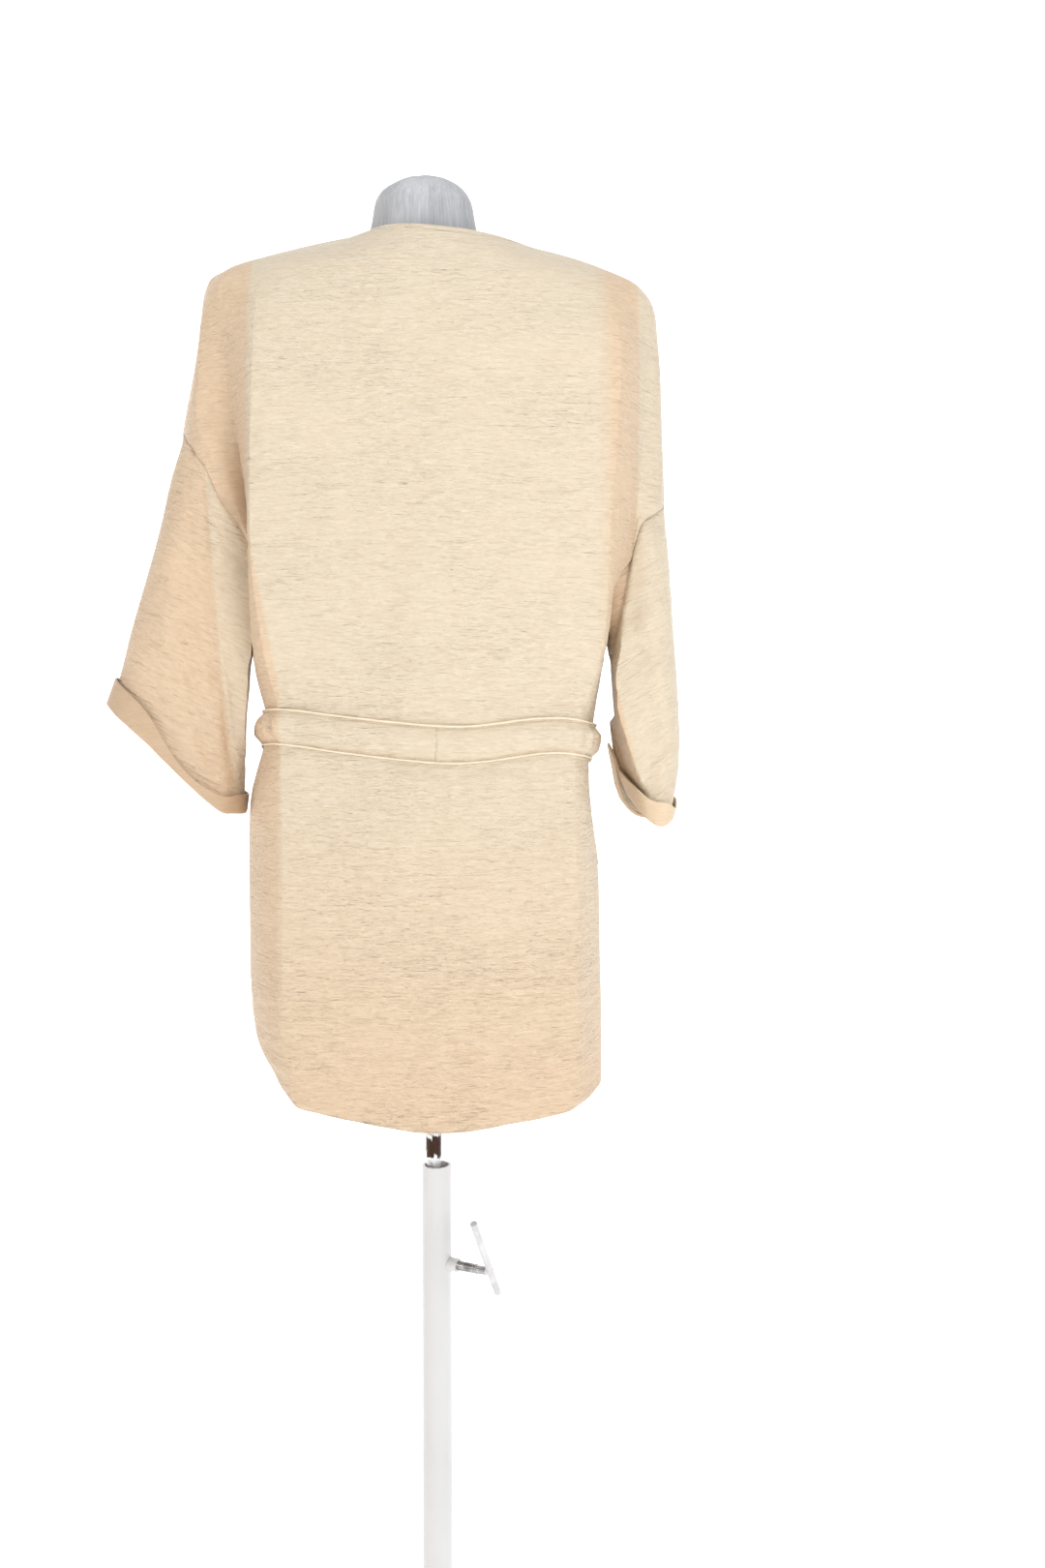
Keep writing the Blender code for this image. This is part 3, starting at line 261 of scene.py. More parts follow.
# The thread on the channel: a stitch's length, the gap to the next, its radius, its distance from the edge,
# how far it is sunk in, and its rings as (share of the length, size, rise), both by the radius
STITCH_LENGTH, STITCH_GAP, STITCH_RADIUS = 0.0026, 0.0009, 0.00030
STITCH_INSET, STITCH_SUNK = 0.0030, 0.4
STITCH_RINGS = ((0.0, 0.35, -0.6), (0.2, 0.85, 0.3), (0.5, 1.0, 0.6), (0.8, 0.85, 0.3), (1.0, 0.35, -0.6))
STITCH_SIDES = 6
# The channel's turned edge: its radius, how far inside the edge its middle lies and how far out it stands
ROLL, ROLL_INSET, ROLL_OUT = 0.00095, 0.7, 0.35
# How finely the stitches' and the turned edges' paths follow the channel round the body
STITCH_PATH, ROLL_PATH = 1440, 360


def unit(value):
    return min(max(value, 0.0), 1.0)


def add_object(name, data):
    made = bpy.data.objects.new(name, data)
    bpy.context.scene.collection.objects.link(made)
    return made


def mesh_from(shape, name):
    mesh = bpy.data.meshes.new(name)
    shape.to_mesh(mesh)
    shape.free()
    mesh.shade_smooth()
    return mesh


def settle(guide, name):
    """A plain smooth mesh in place of a guide, as the guide's modifier or bevel makes it."""
    mesh = bpy.data.meshes.new_from_object(guide.evaluated_get(bpy.context.evaluated_depsgraph_get()))
    bpy.data.objects.remove(guide)
    mesh.name = name
    mesh.materials.clear()
    mesh.shade_smooth()
    return add_object(name, mesh)


def surface_tree(piece):
    return BVHTree.FromPolygons(
        [vertex.co for vertex in piece.data.vertices], [tuple(face.vertices) for face in piece.data.polygons]
    )


def smooth_step(value):
    value = np.clip(value, 0.0, 1.0)
    return value * value * (3 - 2 * value)


def outward(points, centre_x, oval):
    """Level unit directions away from an upright axis, as an oval of those half widths would have."""
    x = (points[:, 0] - centre_x) / oval[0] ** 2
    y = points[:, 1] / oval[1] ** 2
    size = np.maximum(np.hypot(x, y), 1e-9)
    return np.stack([x / size, y / size, np.zeros_like(x)], axis=1)


def along_line(points, line):
    """Signed distance from each point to a line in the (x, z) plane, and how far along it that is, 0 to 1."""
    line = np.array(line, float)
    flat = points[:, [0, 2]]
    lengths = np.linalg.norm(np.diff(line, axis=0), axis=1)
    nearest, signed, share = np.full(len(flat), 1e9), np.zeros(len(flat)), np.zeros(len(flat))
    for k, length in enumerate(lengths):
        ahead = (line[k + 1] - line[k]) / length
        low = -1e9 if k == 0 else 0.0
        high = 1e9 if k == len(lengths) - 1 else length
        offset = flat - line[k]
        travel = np.clip(offset @ ahead, low, high)
        away = offset - travel[:, None] * ahead
        distance = np.linalg.norm(away, axis=1)
        better = distance < nearest
        nearest[better] = distance[better]
        side = np.sign(ahead[0] * offset[:, 1] - ahead[1] * offset[:, 0])
        signed[better] = (distance * side)[better]
        share[better] = ((lengths[:k].sum() + travel) / lengths.sum())[better]
    return signed, share


def fold_height(points, folds):
    """Height of the folds at each point, faded at their ends and towards the garment's side."""
    total = np.zeros(len(points))
    for number, (side, width, height, lean, line) in enumerate(folds):
        signed, share = along_line(points, line)
        half = width * np.where(signed > 0, 1 + lean, 1 - lean)
        unevenness = 1 + 0.3 * np.sin(9.0 * share + 1.7 * number) + 0.15 * np.sin(23.0 * share + 2.9 * number)
        ends = smooth_step(share / 0.28 + 0.15) * smooth_step((1 - share) / 0.28 + 0.15)
        ends *= smooth_step((share + 0.2) / 0.2) * smooth_step((1.2 - share) / 0.2)
        faces = smooth_step(points[:, 1] * side / 0.025)
        total += height * unevenness * ends * faces * np.exp(-((signed / half) ** 2))
    return total


def step_height(points, steps):
    """Height of the folds with one crisp edge: raised on the one side of a line, sunk on the other."""
    total = np.zeros(len(points))
    for side, raised, sunk, height, line in steps:
        signed, share = along_line(points, line)
        up = height * np.exp(-((signed / raised) ** 2))
        down = -height * np.exp(-np.abs(signed) / sunk)
        over = smooth_step((signed + 0.0018) / 0.0036)
        ends = smooth_step((share + 0.12) / 0.16) * smooth_step((1.12 - share) / 0.16)
        faces = smooth_step(points[:, 1] * side / 0.02)
        total += (up * over + down * (1 - over)) * ends * faces
    return total


def gathers(above):
    """Short folds that run out from an edge of the waist channel, as uneven as the seam that gathers them."""
    count, lengths, widths, heights = GATHERS_ABOVE if above else GATHERS_BELOW
    at, rise = CHANNEL_TOP if above else CHANNEL_FOOT
    rng = np.random.default_rng(11 if above else 23)
    folds = []
    for side in (1, -1):
        places = np.sort(rng.uniform(-GATHER_SPAN, GATHER_SPAN, count))
        for number, x in enumerate(places):
            long, wide, high = (rng.uniform(*limits) for limits in (lengths, widths, heights))
            start = at + rise * x
            end = start + long if above else start - long
            sign = 1 if number % 2 else -1
            drift = rng.uniform(-0.12, 0.12) * long
            folds.append((side, wide, sign * high, 0.0, ((x, start), (x + drift, end))))
    return folds


def ripples(points, tilt=0.0, seed=3):
    """Long low waves that run across the cloth, as crepe has, about the thread's direction."""
    rng = np.random.default_rng(seed)
    turned_x = points[:, 0] * math.cos(tilt) - points[:, 2] * math.sin(tilt)
    turned_z = points[:, 0] * math.sin(tilt) + points[:, 2] * math.cos(tilt)
    total = np.zeros(len(points))
    warp = 0.006 * np.sin(turned_x * 31 + 1.0) + 0.004 * np.sin(turned_x * 74 + turned_z * 40)
    for _ in range(RIPPLE_COUNT):
        tall, wide = rng.uniform(*RIPPLE_TALL), rng.uniform(*RIPPLE_WIDE)
        phase, other = rng.uniform(0, TURN, 2)
        wave = np.sin(TURN * (turned_z + warp) / tall + other + points[:, 1] * 40)
        total += wave * np.sin(TURN * turned_x / wide + phase)
    return total * RIPPLE_HEIGHT / math.sqrt(RIPPLE_COUNT) * 2


def from_channel(points):
    """How far each point lies above or below the waist channel's middle."""
    at, rise = CHANNEL_MIDDLE
    return np.abs(points[:, 2] - at - rise * points[:, 0])


def body_field(points):
    """How far the folds, gathers and ripples of the panels, and the channel's sag, move each point."""
    away = outward(points, 0.0, BODY_OVAL)
    height = fold_height(points, BODY_FOLDS)
    for above in (True, False):
        at, rise = CHANNEL_TOP if above else CHANNEL_FOOT
        past = (points[:, 2] - at - rise * points[:, 0]) * (1 if above else -1)
        height += fold_height(points, gathers(above)) * smooth_step(past / 0.002 + 0.5)
    low = smooth_step((SKIRT_FROM - points[:, 2]) / SKIRT_SPAN)
    on_top = smooth_step((points[:, 2] - SHOULDER_FROM) / SHOULDER_SPAN)
    height += ripples(points) * (1.0 + 1.1 * low - 0.9 * on_top) * away[:, 1] ** 2
    height *= 0.25 + 0.75 * smooth_step((from_channel(points) - 0.010) / 0.012)
    moved = away * height[:, None]
    moved[:, 2] += sag(points)
    return moved


def left_flat(z):
    """From which x the left sleeve's back is brought level at a height, and by what share."""
    low, high = FLAT_HEIGHTS[1]
    begin, finish = FLAT_FADES[1]
    share = min((z - low) / begin, 1.0) * min((high - z) / finish, 1.0)
    return FOLD_AT + FOLD_SLOPE * z + FLAT_FROM[1], share


def right_flat(x, z):
    """The same on the right, where the recess above and the open slit below stay."""
    heights, inner, fold = zip(*RIGHT_HOLLOW)
    begin, finish = FLAT_FADES[-1]
    fold_x = np.interp(z, heights, fold)
    across = unit((fold_x + x) / (fold_x - np.interp(z, heights, inner)))
    slit = SLIT_FOOT + SLIT_RISE * across ** SLIT_POWER
    share = unit((z - slit) / begin) * min((FLAT_HEIGHTS[-1][1] - z) / finish, 1.0)
    if z > RECESS_FOOT:
        recess = RECESS_AT + RECESS_SLOPE * z
        share *= RECESS_FILL + (1 - RECESS_FILL) * unit((-x - recess) / RECESS_WIDTH)
    return fold_x + FLAT_FROM[-1], share


def flatten_sleeve(piece, sign):
    """Brings a sleeve's back level with its fold between the fold and the body."""
    tree = surface_tree(piece)
    points = points_of(piece)
    moved = points[:, 1].copy()
    back = Vector((0.0, -1.0, 0.0))
    low, high = FLAT_HEIGHTS[sign]
    for number, (x, y, z) in enumerate(points):
        if y < FLAT_FRONT or z < low or z > high:
            continue
        from_x, share = left_flat(z) if sign > 0 else right_flat(x, z)
        if x * sign > from_x or share <= 0:
            continue
        level = tree.ray_cast(Vector((from_x * sign, 0.5, z)), back)[0]
        here = tree.ray_cast(Vector((x, 0.5, z)), back)[0]
        if level is None:
            continue
        outer = y if here is None else max(here.y, y)
        share *= unit((y - FLAT_FRONT) / (outer - FLAT_FRONT - FLAT_DEPTH))
        moved[number] = y + share * max(level.y - outer, FLAT_IN)
    points[:, 1] = moved
    piece.data.vertices.foreach_set("co", points.ravel())
    piece.data.update()


def sag(points):
    """How far the waist channel and the cloth beside it stand above or below a straight line, on the back."""
    places, rises = (np.array(column) for column in zip(*CHANNEL_SAG))
    rise = np.interp(points[:, 0], places, rises)
    for _ in range(2):
        beside = sum(np.interp(points[:, 0] + step, places, rises) for step in (-SAG_WIDTH, SAG_WIDTH))
        rise = rise * 0.5 + 0.25 * beside
    near = smooth_step((SAG_REACH - from_channel(points)) / SAG_SPAN)
    return rise * near * smooth_step(points[:, 1] / 0.03)


def sleeve_field(sign, folds, tilt):
    """How far a sleeve's folds and ripples move a point, with the body's own at the sleeve's head."""
    (head_x, head_z), (end_x, end_z) = SLEEVE_AXIS[sign]

    def field(points):
        share = (points[:, 2] - head_z) / (end_z - head_z)
        axis = head_x + (end_x - head_x) * share
        away = outward(points, axis, SLEEVE_OVAL)
        height = fold_height(points, folds) + step_height(points, SLEEVE_STEPS[sign])
        height += ripples(points, tilt, 5 + sign) * away[:, 1] ** 2
        here = smooth_step(share / 0.15)[:, None]
        moved = away * height[:, None] * here + body_field(points) * (1 - here)
        return moved

    return field


def fold_crease(edge, angle):
    """How crisp a panel's fold stays at an edge: by its angle if it is upright, and less further down."""
    if abs(edge.verts[0].co.z - edge.verts[1].co.z) < FOLD_UPRIGHT * edge.calc_length():
        return 0.0
    middle = (edge.verts[0].co + edge.verts[1].co) / 2
    kept = unit((middle.z - FOLD_FOOT[1 if middle.x > 0 else -1]) / FOLD_FADE)
    return FOLD_MOST * kept * unit((angle - FOLD_FROM) / (FOLD_FULL - FOLD_FROM))


def fine_copy(node, name, levels, keep_folds=False, keep_peak=False):
    """A smooth fine copy of a solid: its triangles joined back into quads, then subdivided.

    Rims stay sharp, and with keep_folds so do the cloth's folds, by their angle. keep_peak keeps the
    corner at the piece's highest point, where a sleeve meets the shoulder seam.
    """
    shape = bmesh.new()
    shape.from_mesh(frame["nodes"][node].data)
    bmesh.ops.remove_doubles(shape, verts=shape.verts, dist=WELD)
    bmesh.ops.join_triangles(
        shape, faces=shape.faces, angle_face_threshold=math.pi, angle_shape_threshold=math.pi
    )
    crease = shape.edges.layers.float.new("crease_edge")
    for edge in shape.edges:
        angle = edge.calc_face_angle(0.0)
        if angle > SHARP:
            edge[crease] = 1.0
        elif keep_folds:
            edge[crease] = fold_crease(edge, angle)
    if keep_peak:
        corner = shape.verts.layers.float.new("crease_vert")
        peak = max(vertex.co.z for vertex in shape.verts)
        for vertex in shape.verts:
            vertex[corner] = 1.0 if vertex.co.z > peak - PEAK_DEPTH else 0.0
    guide = add_object(name + "_coarse", mesh_from(shape, name + "_coarse"))
    smooth = guide.modifiers.new("Fine", "SUBSURF")
    smooth.levels = smooth.render_levels = levels
    return settle(guide, name)


def refine_outside(piece):
    """Cuts the faces of the outer skin in four, where the folds and ripples show."""
    form = frame["nodes"]["dress_form"]
    inside = BVHTree.FromPolygons(
        [form.matrix_world @ vertex.co for vertex in form.data.vertices],
        [tuple(face.vertices) for face in form.data.polygons],
    )
    shape = bmesh.new()
    shape.from_mesh(piece.data)
    shape.normal_update()
    edges = set()
    for face in shape.faces:
        centre = face.calc_center_median()
        nearest = inside.find_nearest(centre)[0]
        if face.normal.dot(centre - nearest) > 0 and len(face.verts) == 4:
            edges.update(face.edges)
    bmesh.ops.subdivide_edges(shape, edges=list(edges), cuts=1, use_grid_fill=True)
    bmesh.ops.triangulate(shape, faces=[face for face in shape.faces if len(face.verts) > 4])
    shape.to_mesh(piece.data)
    shape.free()
    piece.data.shade_smooth()


def seam_lines(first, second):
    """Lines midway between the facing rims of two solids, each from its highest point on."""
    first, second = frame["nodes"][first], frame["nodes"][second]
    others = [second.matrix_world @ vertex.co for vertex in second.data.vertices]
    tree = KDTree(len(others))
    for number, point in enumerate(others):
        tree.insert(point, number)
    tree.balance()
    middles = []
    for vertex in first.data.vertices:
        point = first.matrix_world @ vertex.co
        nearest, _, distance = tree.find(point)
        if distance < NEAR_RIM:
            middles.append((point + nearest) / 2)
    groups = []
    for point in middles:
        for group in groups:
            if (sum(group, Vector()) / len(group) - point).length < SAME_POINT:
                group.append(point)
                break
        else:
            groups.append([point])
    left = [sum(group, Vector()) / len(group) for group in groups]
    lines = []
    while left:
        here = max(left, key=lambda point: point.z)
        left.remove(here)
        line = [here]
        while left:
            here = min(left, key=lambda point: (point - line[-1]).length)
            if (here - line[-1]).length > SEAM_JUMP:
                break
            left.remove(here)
            line.append(here)
        lines.append(line)
    return [line for line in lines if len(line) > 3]


def welt(name, line, material, field, closed=False, radius=WELT):
    """A thin raised line of cloth, such as the seam between two panels, moved by a field if one is given."""
    curve = bpy.data.curves.new(name, "CURVE")
    curve.dimensions = "3D"
    curve.bevel_depth, curve.bevel_resolution = radius, 2
    curve.resolution_u = 3 if closed else 6
    curve.use_fill_caps = True
    spline = curve.splines.new("NURBS")
    spline.points.add(len(line) - 1)
    for point, place in zip(spline.points, line):
        point.co = (*place, 1.0)
    spline.order_u = 4
    spline.use_cyclic_u, spline.use_endpoint_u = closed, not closed
    made = settle(add_object(name + "_line", curve), name)
    if field:
        move_points(made, field)
    return dress(made, material, "form", "crepe")


def points_of(piece):
    points = np.empty(len(piece.data.vertices) * 3)
    piece.data.vertices.foreach_get("co", points)
    return points.reshape(-1, 3)


def move_points(piece, field):
    points = points_of(piece)
    points += field(points)
    piece.data.vertices.foreach_set("co", points.ravel())
    piece.data.update()


def dress(piece, material, body, slot, *nodes):
    piece.data.materials.append(material)
    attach(piece, body)
    if nodes:
        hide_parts(*nodes)
    return piece


# Materials


class Shader:
    """A material's node tree, with short calls for the nodes used here."""

    def __init__(self, name, roughness, metallic=0.0, **more):
        self.material = bpy.data.materials.new(name)
        self.material.use_nodes = True
        self.tree = self.material.node_tree
        self.surface = self.tree.nodes["Principled BSDF"]
        self.set(self.surface, Roughness=roughness, Metallic=metallic, **more)
        self.place = self.tree.nodes.new("ShaderNodeTexCoord").outputs["Object"]

    def feed(self, socket, value):
        if isinstance(value, bpy.types.NodeSocket):
            self.tree.links.new(value, socket)
        else:
            socket.default_value = value

    def set(self, node, **values):
        for name, value in values.items():
            self.feed(node.inputs[name.replace("_", " ")], value)

    def place_parts(self):
        node = self.tree.nodes.new("ShaderNodeSeparateXYZ")
        self.tree.links.new(self.place, node.inputs["Vector"])
        return [node.outputs[axis] for axis in "XYZ"]

    def noise(self, cells, detail=2.0, roughness=0.5, distortion=0.0, turn=(0.0, 0.0, 0.0)):
        """Noise with that many cells a metre along each axis, turned about the origin."""
        mapping = self.tree.nodes.new("ShaderNodeMapping")
        mapping.vector_type = "TEXTURE"
        self.set(mapping, Vector=self.place, Rotation=turn, Scale=tuple(1 / count for count in cells))
        node = self.tree.nodes.new("ShaderNodeTexNoise")
        self.set(node, Vector=mapping.outputs["Vector"], Scale=1.0, Detail=detail)
        self.set(node, Roughness=roughness, Distortion=distortion)
        return node.outputs["Fac"]

    def ramp(self, value, *stops):
        node = self.tree.nodes.new("ShaderNodeValToRGB")
        elements = node.color_ramp.elements
        while len(elements) < len(stops):
            elements.new(0.5)
        for element, (at, colour) in zip(elements, stops):
            element.position = at
            element.color = (*colour, 1.0)
        self.tree.links.new(value, node.inputs["Fac"])
        return node.outputs["Color"]

    def math(self, operation, first, second=0.0, third=0.0, clamp=False):
        node = self.tree.nodes.new("ShaderNodeMath")
        node.operation, node.use_clamp = operation, clamp
        for socket, value in zip(node.inputs, (first, second, third)):
            self.feed(socket, value)
        return node.outputs["Value"]

    def bump(self, height, distance, strength, below=None):
        node = self.tree.nodes.new("ShaderNodeBump")
        self.set(node, Height=height, Distance=distance, Strength=strength)
        if below is not None:
            self.set(node, Normal=below)
        return node.outputs["Normal"]

    def mix(self, share, first, second):
        node = self.tree.nodes.new("ShaderNodeMix")
        node.data_type = "RGBA"
        for at, value in ((0, share), (6, first), (7, second)):
            self.feed(node.inputs[at], value)
        return node.outputs[2]

    def colour(self, value):
        self.set(self.surface, Base_Color=value)

    def normal(self, value):
        self.set(self.surface, Normal=value)


def cloth_colour_with_painted_shade(made, slubs, height, across, folded):
    """Pale where lit, and a darker, warmer tan at the wearer's left, in the recess at the right and down the
    skirt: painted shade for where the cloth lies in shade.

    folded is for the left sleeve, which stays mostly pale between its long fold and the body, with a share of
    the painted shade.
    """
    down = made.math("MULTIPLY_ADD", height, DOWN_SLOPE, DOWN_START, clamp=True)
    if folded:
        past = made.math("MULTIPLY_ADD", height, FOLD_SLOPE * -FOLD_CRISP, FOLD_AT * -FOLD_CRISP)
        left = made.math("MULTIPLY_ADD", across, FOLD_CRISP, past, clamp=True)
        left = made.math("MULTIPLY_ADD", left, 1 - INSIDE_FOLD, INSIDE_FOLD)
    else:
        side = made.math("MAXIMUM", made.math("MULTIPLY_ADD", height, EDGE_SLOPE, EDGE_AT), EDGE_LEAST)
        side = made.math("MINIMUM", side, EDGE_MOST)
        left = made.math("MULTIPLY", made.math("SUBTRACT", across, side), EDGE_CRISP, clamp=True)
    edge = made.math("MULTIPLY_ADD", height, RECESS_SLOPE, RECESS_AT)
    edge = made.math("MAXIMUM", edge, made.math("MULTIPLY_ADD", height, SLIT_SLOPE, SLIT_AT))
    edge = made.math("MINIMUM", edge, RECESS_MOST)
    recess = made.math("MULTIPLY", made.math("ADD", edge, across), RECESS_CRISP, clamp=True)
    right = made.math("MULTIPLY_ADD", across, RIGHT_SLOPE, RIGHT_START, clamp=True)
    right = made.math("MULTIPLY", right, recess)
    # share is the painted shade: how far the pale crepe turns to its darker, warmer shaded copy.
    share = made.math("MAXIMUM", down, made.math("MAXIMUM", left, right))
    pale = made.ramp(slubs, (SLUB_DEEP, PALE_DEEP), (SLUB_LIGHT, PALE))
    warm_shade = made.ramp(slubs, (SLUB_DEEP, SHADE_TAN_DEEP), (SLUB_LIGHT, SHADE_TAN))
    return made.mix(share, pale, warm_shade), down


def crepe(name, tilt, crinkle=1.0, plain=None, folded=False):
    """Crinkled crepe: fine waves across the cloth, slubs along its threads and a soft satin sheen.

    The crinkle grows down the skirt. plain is a pair of colours used instead of the painted shade's mix: for
    the cloth's reverse, with the left turn-up's a painted shade of the right's, for the seams, as painted
    shade, and for the channel's turned edges, as a painted highlight.
    """
    made = Shader(
        name, 0.56, Sheen_Weight=0.20, Sheen_Roughness=0.35, Specular_IOR_Level=0.30, IOR=1.45
    )
    turn = (0.0, tilt, 0.0)
    across, _, height = made.place_parts()
    waves = made.noise((26.0, 26.0, 170.0), 2.0, 0.5, 1.2, turn)
    streaks = made.noise((88.0, 88.0, 430.0), 2.5, 0.6, 1.0, turn)
    fine = made.noise((150.0, 150.0, 900.0), 2.0, 0.6, 0.4, turn)
    patches = made.noise((8.0, 8.0, 14.0), turn=turn)
    weft = made.noise((130.0, 130.0, 2400.0), 1.0, turn=turn)
    slubs = made.math("MULTIPLY_ADD", weft, 0.30, made.math("MULTIPLY", streaks, 0.70))
    # The colour carries painted shade: a darker, warmer tan at the sides, in the recess and down the skirt.
    colour, down = cloth_colour_with_painted_shade(made, slubs, height, across, folded)
    if plain:
        colour = made.ramp(slubs, (SLUB_DEEP, plain[0]), (SLUB_LIGHT, plain[1]))
    made.colour(colour)
    strength = made.math("MULTIPLY_ADD", patches, 1.0 * crinkle, 0.15 * crinkle)
    strength = made.math("MULTIPLY_ADD", down, 0.20 * crinkle, strength)
    waved = made.math("MULTIPLY", made.math("SUBTRACT", waves, 0.5), strength)
    creased = made.math("MULTIPLY", made.math("SUBTRACT", streaks, 0.5), strength)
    normal = made.bump(waved, 0.0036, 0.9)
    normal = made.bump(creased, 0.0021, 1.0, normal)
    normal = made.bump(fine, 0.00045, 0.8, normal)
    made.normal(normal)
    return made.material


def jersey():
    """Brushed grey jersey, with its fibres combed up and down."""
    made = Shader("form_jersey", 0.62, Sheen_Weight=0.35, Sheen_Roughness=0.4, Specular_IOR_Level=0.35)
    streaks = made.noise((520.0, 520.0, 26.0), 3.0, 0.65, 0.2)
    bands = made.noise((42.0, 42.0, 5.0))
    both = made.math("MULTIPLY_ADD", bands, 0.55, made.math("MULTIPLY", streaks, 0.5))
    made.colour(made.ramp(both, (0.36, JERSEY), (0.68, JERSEY_LIGHT)))
    made.normal(made.bump(streaks, 0.0005, 0.6))
    return made.material


def white_paint():
    """White enamel on the stand, a little uneven and worn."""
    made = Shader("white_enamel", 0.28, Coat_Weight=0.35, Coat_Roughness=0.12)
    orange_peel = made.noise((240.0, 240.0, 240.0))
    wear = made.noise((18.0, 18.0, 5.0), 3.0)
    made.colour(made.ramp(wear, (0.32, PAINT_SHADE), (0.6, PAINT)))
    made.normal(made.bump(orange_peel, 0.0002, 0.25))
    return made.material


def wrapped_film():
    """Silvery film wound round the mast, with dark overlaps and one torn brown place."""
    made = Shader("wound_film", 0.34, 0.75)
    x, y, z = made.place_parts()
    angle = made.math("DIVIDE", made.math("ARCTAN2", y, x), TURN)
    wound = made.math("FRACT", made.math("MULTIPLY_ADD", z, 58.0, angle))
    overlap = made.ramp(
        wound, (0.0, (0.10, 0.09, 0.09)), (0.07, (0.12, 0.11, 0.11)), (0.12, (0.80, 0.80, 0.82))
    )
    crumple = made.noise((130.0, 130.0, 60.0), 4.0, 0.7, 1.2)
    film = made.ramp(crumple, (0.40, (0.30, 0.29, 0.28)), (0.52, (0.86, 0.86, 0.88)))
    silver = made.mix(0.45, overlap, film)
    torn = made.math("COMPARE", made.math("MULTIPLY_ADD", crumple, 0.03, z), 0.640, 0.009)
    made.colour(made.mix(torn, silver, (0.045, 0.022, 0.015, 1.0)))
    made.normal(made.bump(crumple, 0.0016, 0.7))
    return made.material


def clamp_joint():
    return next(joint for joint in frame["joints"] if joint["name"] == "clamp_turn")


def clamp_finish():
    """Bright steel on the screw, and on its T bar a non-metal white-grey that stands in for the chrome's
    bright reflection of the white studio: a painted reflection.
    """
    made = Shader("clamp_steel", 0.22, 1.0)
    x, y, _ = made.place_parts()
    axis = clamp_joint()["axis"]
    along = made.math("MULTIPLY_ADD", y, axis[1], made.math("MULTIPLY", x, axis[0]))
    on_bar = made.math("GREATER_THAN", along, BAR_FROM)
    brushed = made.noise((90.0, 90.0, 90.0), 4.0)
    steel = made.ramp(brushed, (0.35, (0.30, 0.29, 0.29)), (0.65, (0.62, 0.61, 0.61)))
    # paint here is the painted reflection of the chrome bar.
    paint = made.ramp(brushed, (0.35, BAR_REFLECTION_GREY), (0.65, BAR_REFLECTION_WHITE))
    made.colour(made.mix(on_bar, steel, paint))
    made.set(made.surface, Metallic=made.math("SUBTRACT", 1.0, on_bar))
    made.normal(made.bump(brushed, 0.0002, 0.2))
    return made.material


# Pieces


def waist_edges(piece):
    """Heights of the channel's edges round the body, by angle, from its own points."""
    points = points_of(piece)
    angle = np.arctan2(points[:, 1] / BODY_OVAL[1], points[:, 0] / BODY_OVAL[0])
    bins = 180
    number = ((angle + math.pi) / TURN * bins).astype(int) % bins
    top, foot = np.full(bins, -1e9), np.full(bins, 1e9)
    np.maximum.at(top, number, points[:, 2])
    np.minimum.at(foot, number, points[:, 2])
    smoothing = (0.1, 0.2, 0.4, 0.2, 0.1)
    return angle, [
        sum(weight * np.roll(line, k - 2) for k, weight in enumerate(smoothing)) for line in (top, foot)
    ]


def edge_at(angle, line):
    places = (np.arange(len(line)) + 0.5) / len(line) * TURN - math.pi
    return np.interp(angle, places, line, period=TURN)


def shape_channel(piece):
    """Gives the channel its sag and its stitched edges: a lip, a groove along the stitches, puckers between.

    Returns the lines of its upper and lower edge.
    """
    move_points(piece, lambda points: sag(points)[:, None] * np.array([0.0, 0.0, 1.0]))
    angle, (top, foot) = waist_edges(piece)

    def field(points):
        above = edge_at(angle, top) - points[:, 2]
        below = points[:, 2] - edge_at(angle, foot)
        inside = np.minimum(above, below)
        height = PUFF * smooth_step((inside - STITCH_INSET) / PUFF_WIDTH)
        height += LIP * np.exp(-((inside / LIP_WIDTH) ** 2))
        height -= STITCH_GROOVE * np.exp(-(((inside - STITCH_INSET) / GROOVE_WIDTH) ** 2))
        rng = np.random.default_rng(41)
        puckers = np.zeros(len(points))
        for _ in range(PUCKER_COUNT):
            turns, slant = rng.uniform(*PUCKER_TURNS), rng.uniform(*PUCKER_SLANT)
            phase = rng.uniform(0, TURN)
            puckers += np.sin(angle * turns + points[:, 2] * slant + phase)
        middle = smooth_step((inside - 0.004) / 0.008)
        height += puckers * (PUCKER_EDGE * smooth_step(inside / 0.003) + PUCKER_MIDDLE * middle)
        moved = outward(points, 0.0, BODY_OVAL) * height[:, None]
        at_join = smooth_step(1 - np.abs(points[:, 0]) / JOIN_REACH) * (points[:, 1] > 0)
        moved[:, 0] -= np.sign(points[:, 0]) * at_join * JOIN_GAP
        return moved

    move_points(piece, field)
    return top, foot


def path_round(piece, line, inset, count):
    """Points of the channel beside one of its edges, all round, each with its normal and the way outwards."""
    tree = surface_tree(piece)
    path = []
    for k in range(count):
        angle = k / count * TURN
        away = Vector((math.cos(angle) * BODY_OVAL[0], math.sin(angle) * BODY_OVAL[1], 0.0))
        height = edge_at(np.array([angle]), line)[0] + inset
        start = away * 1.6 + Vector((0.0, 0.0, height))
        hit, normal, _, _ = tree.ray_cast(start, -away.normalized(), 0.3)
        if hit is not None:
            path.append((hit, normal, away.normalized()))
    return path


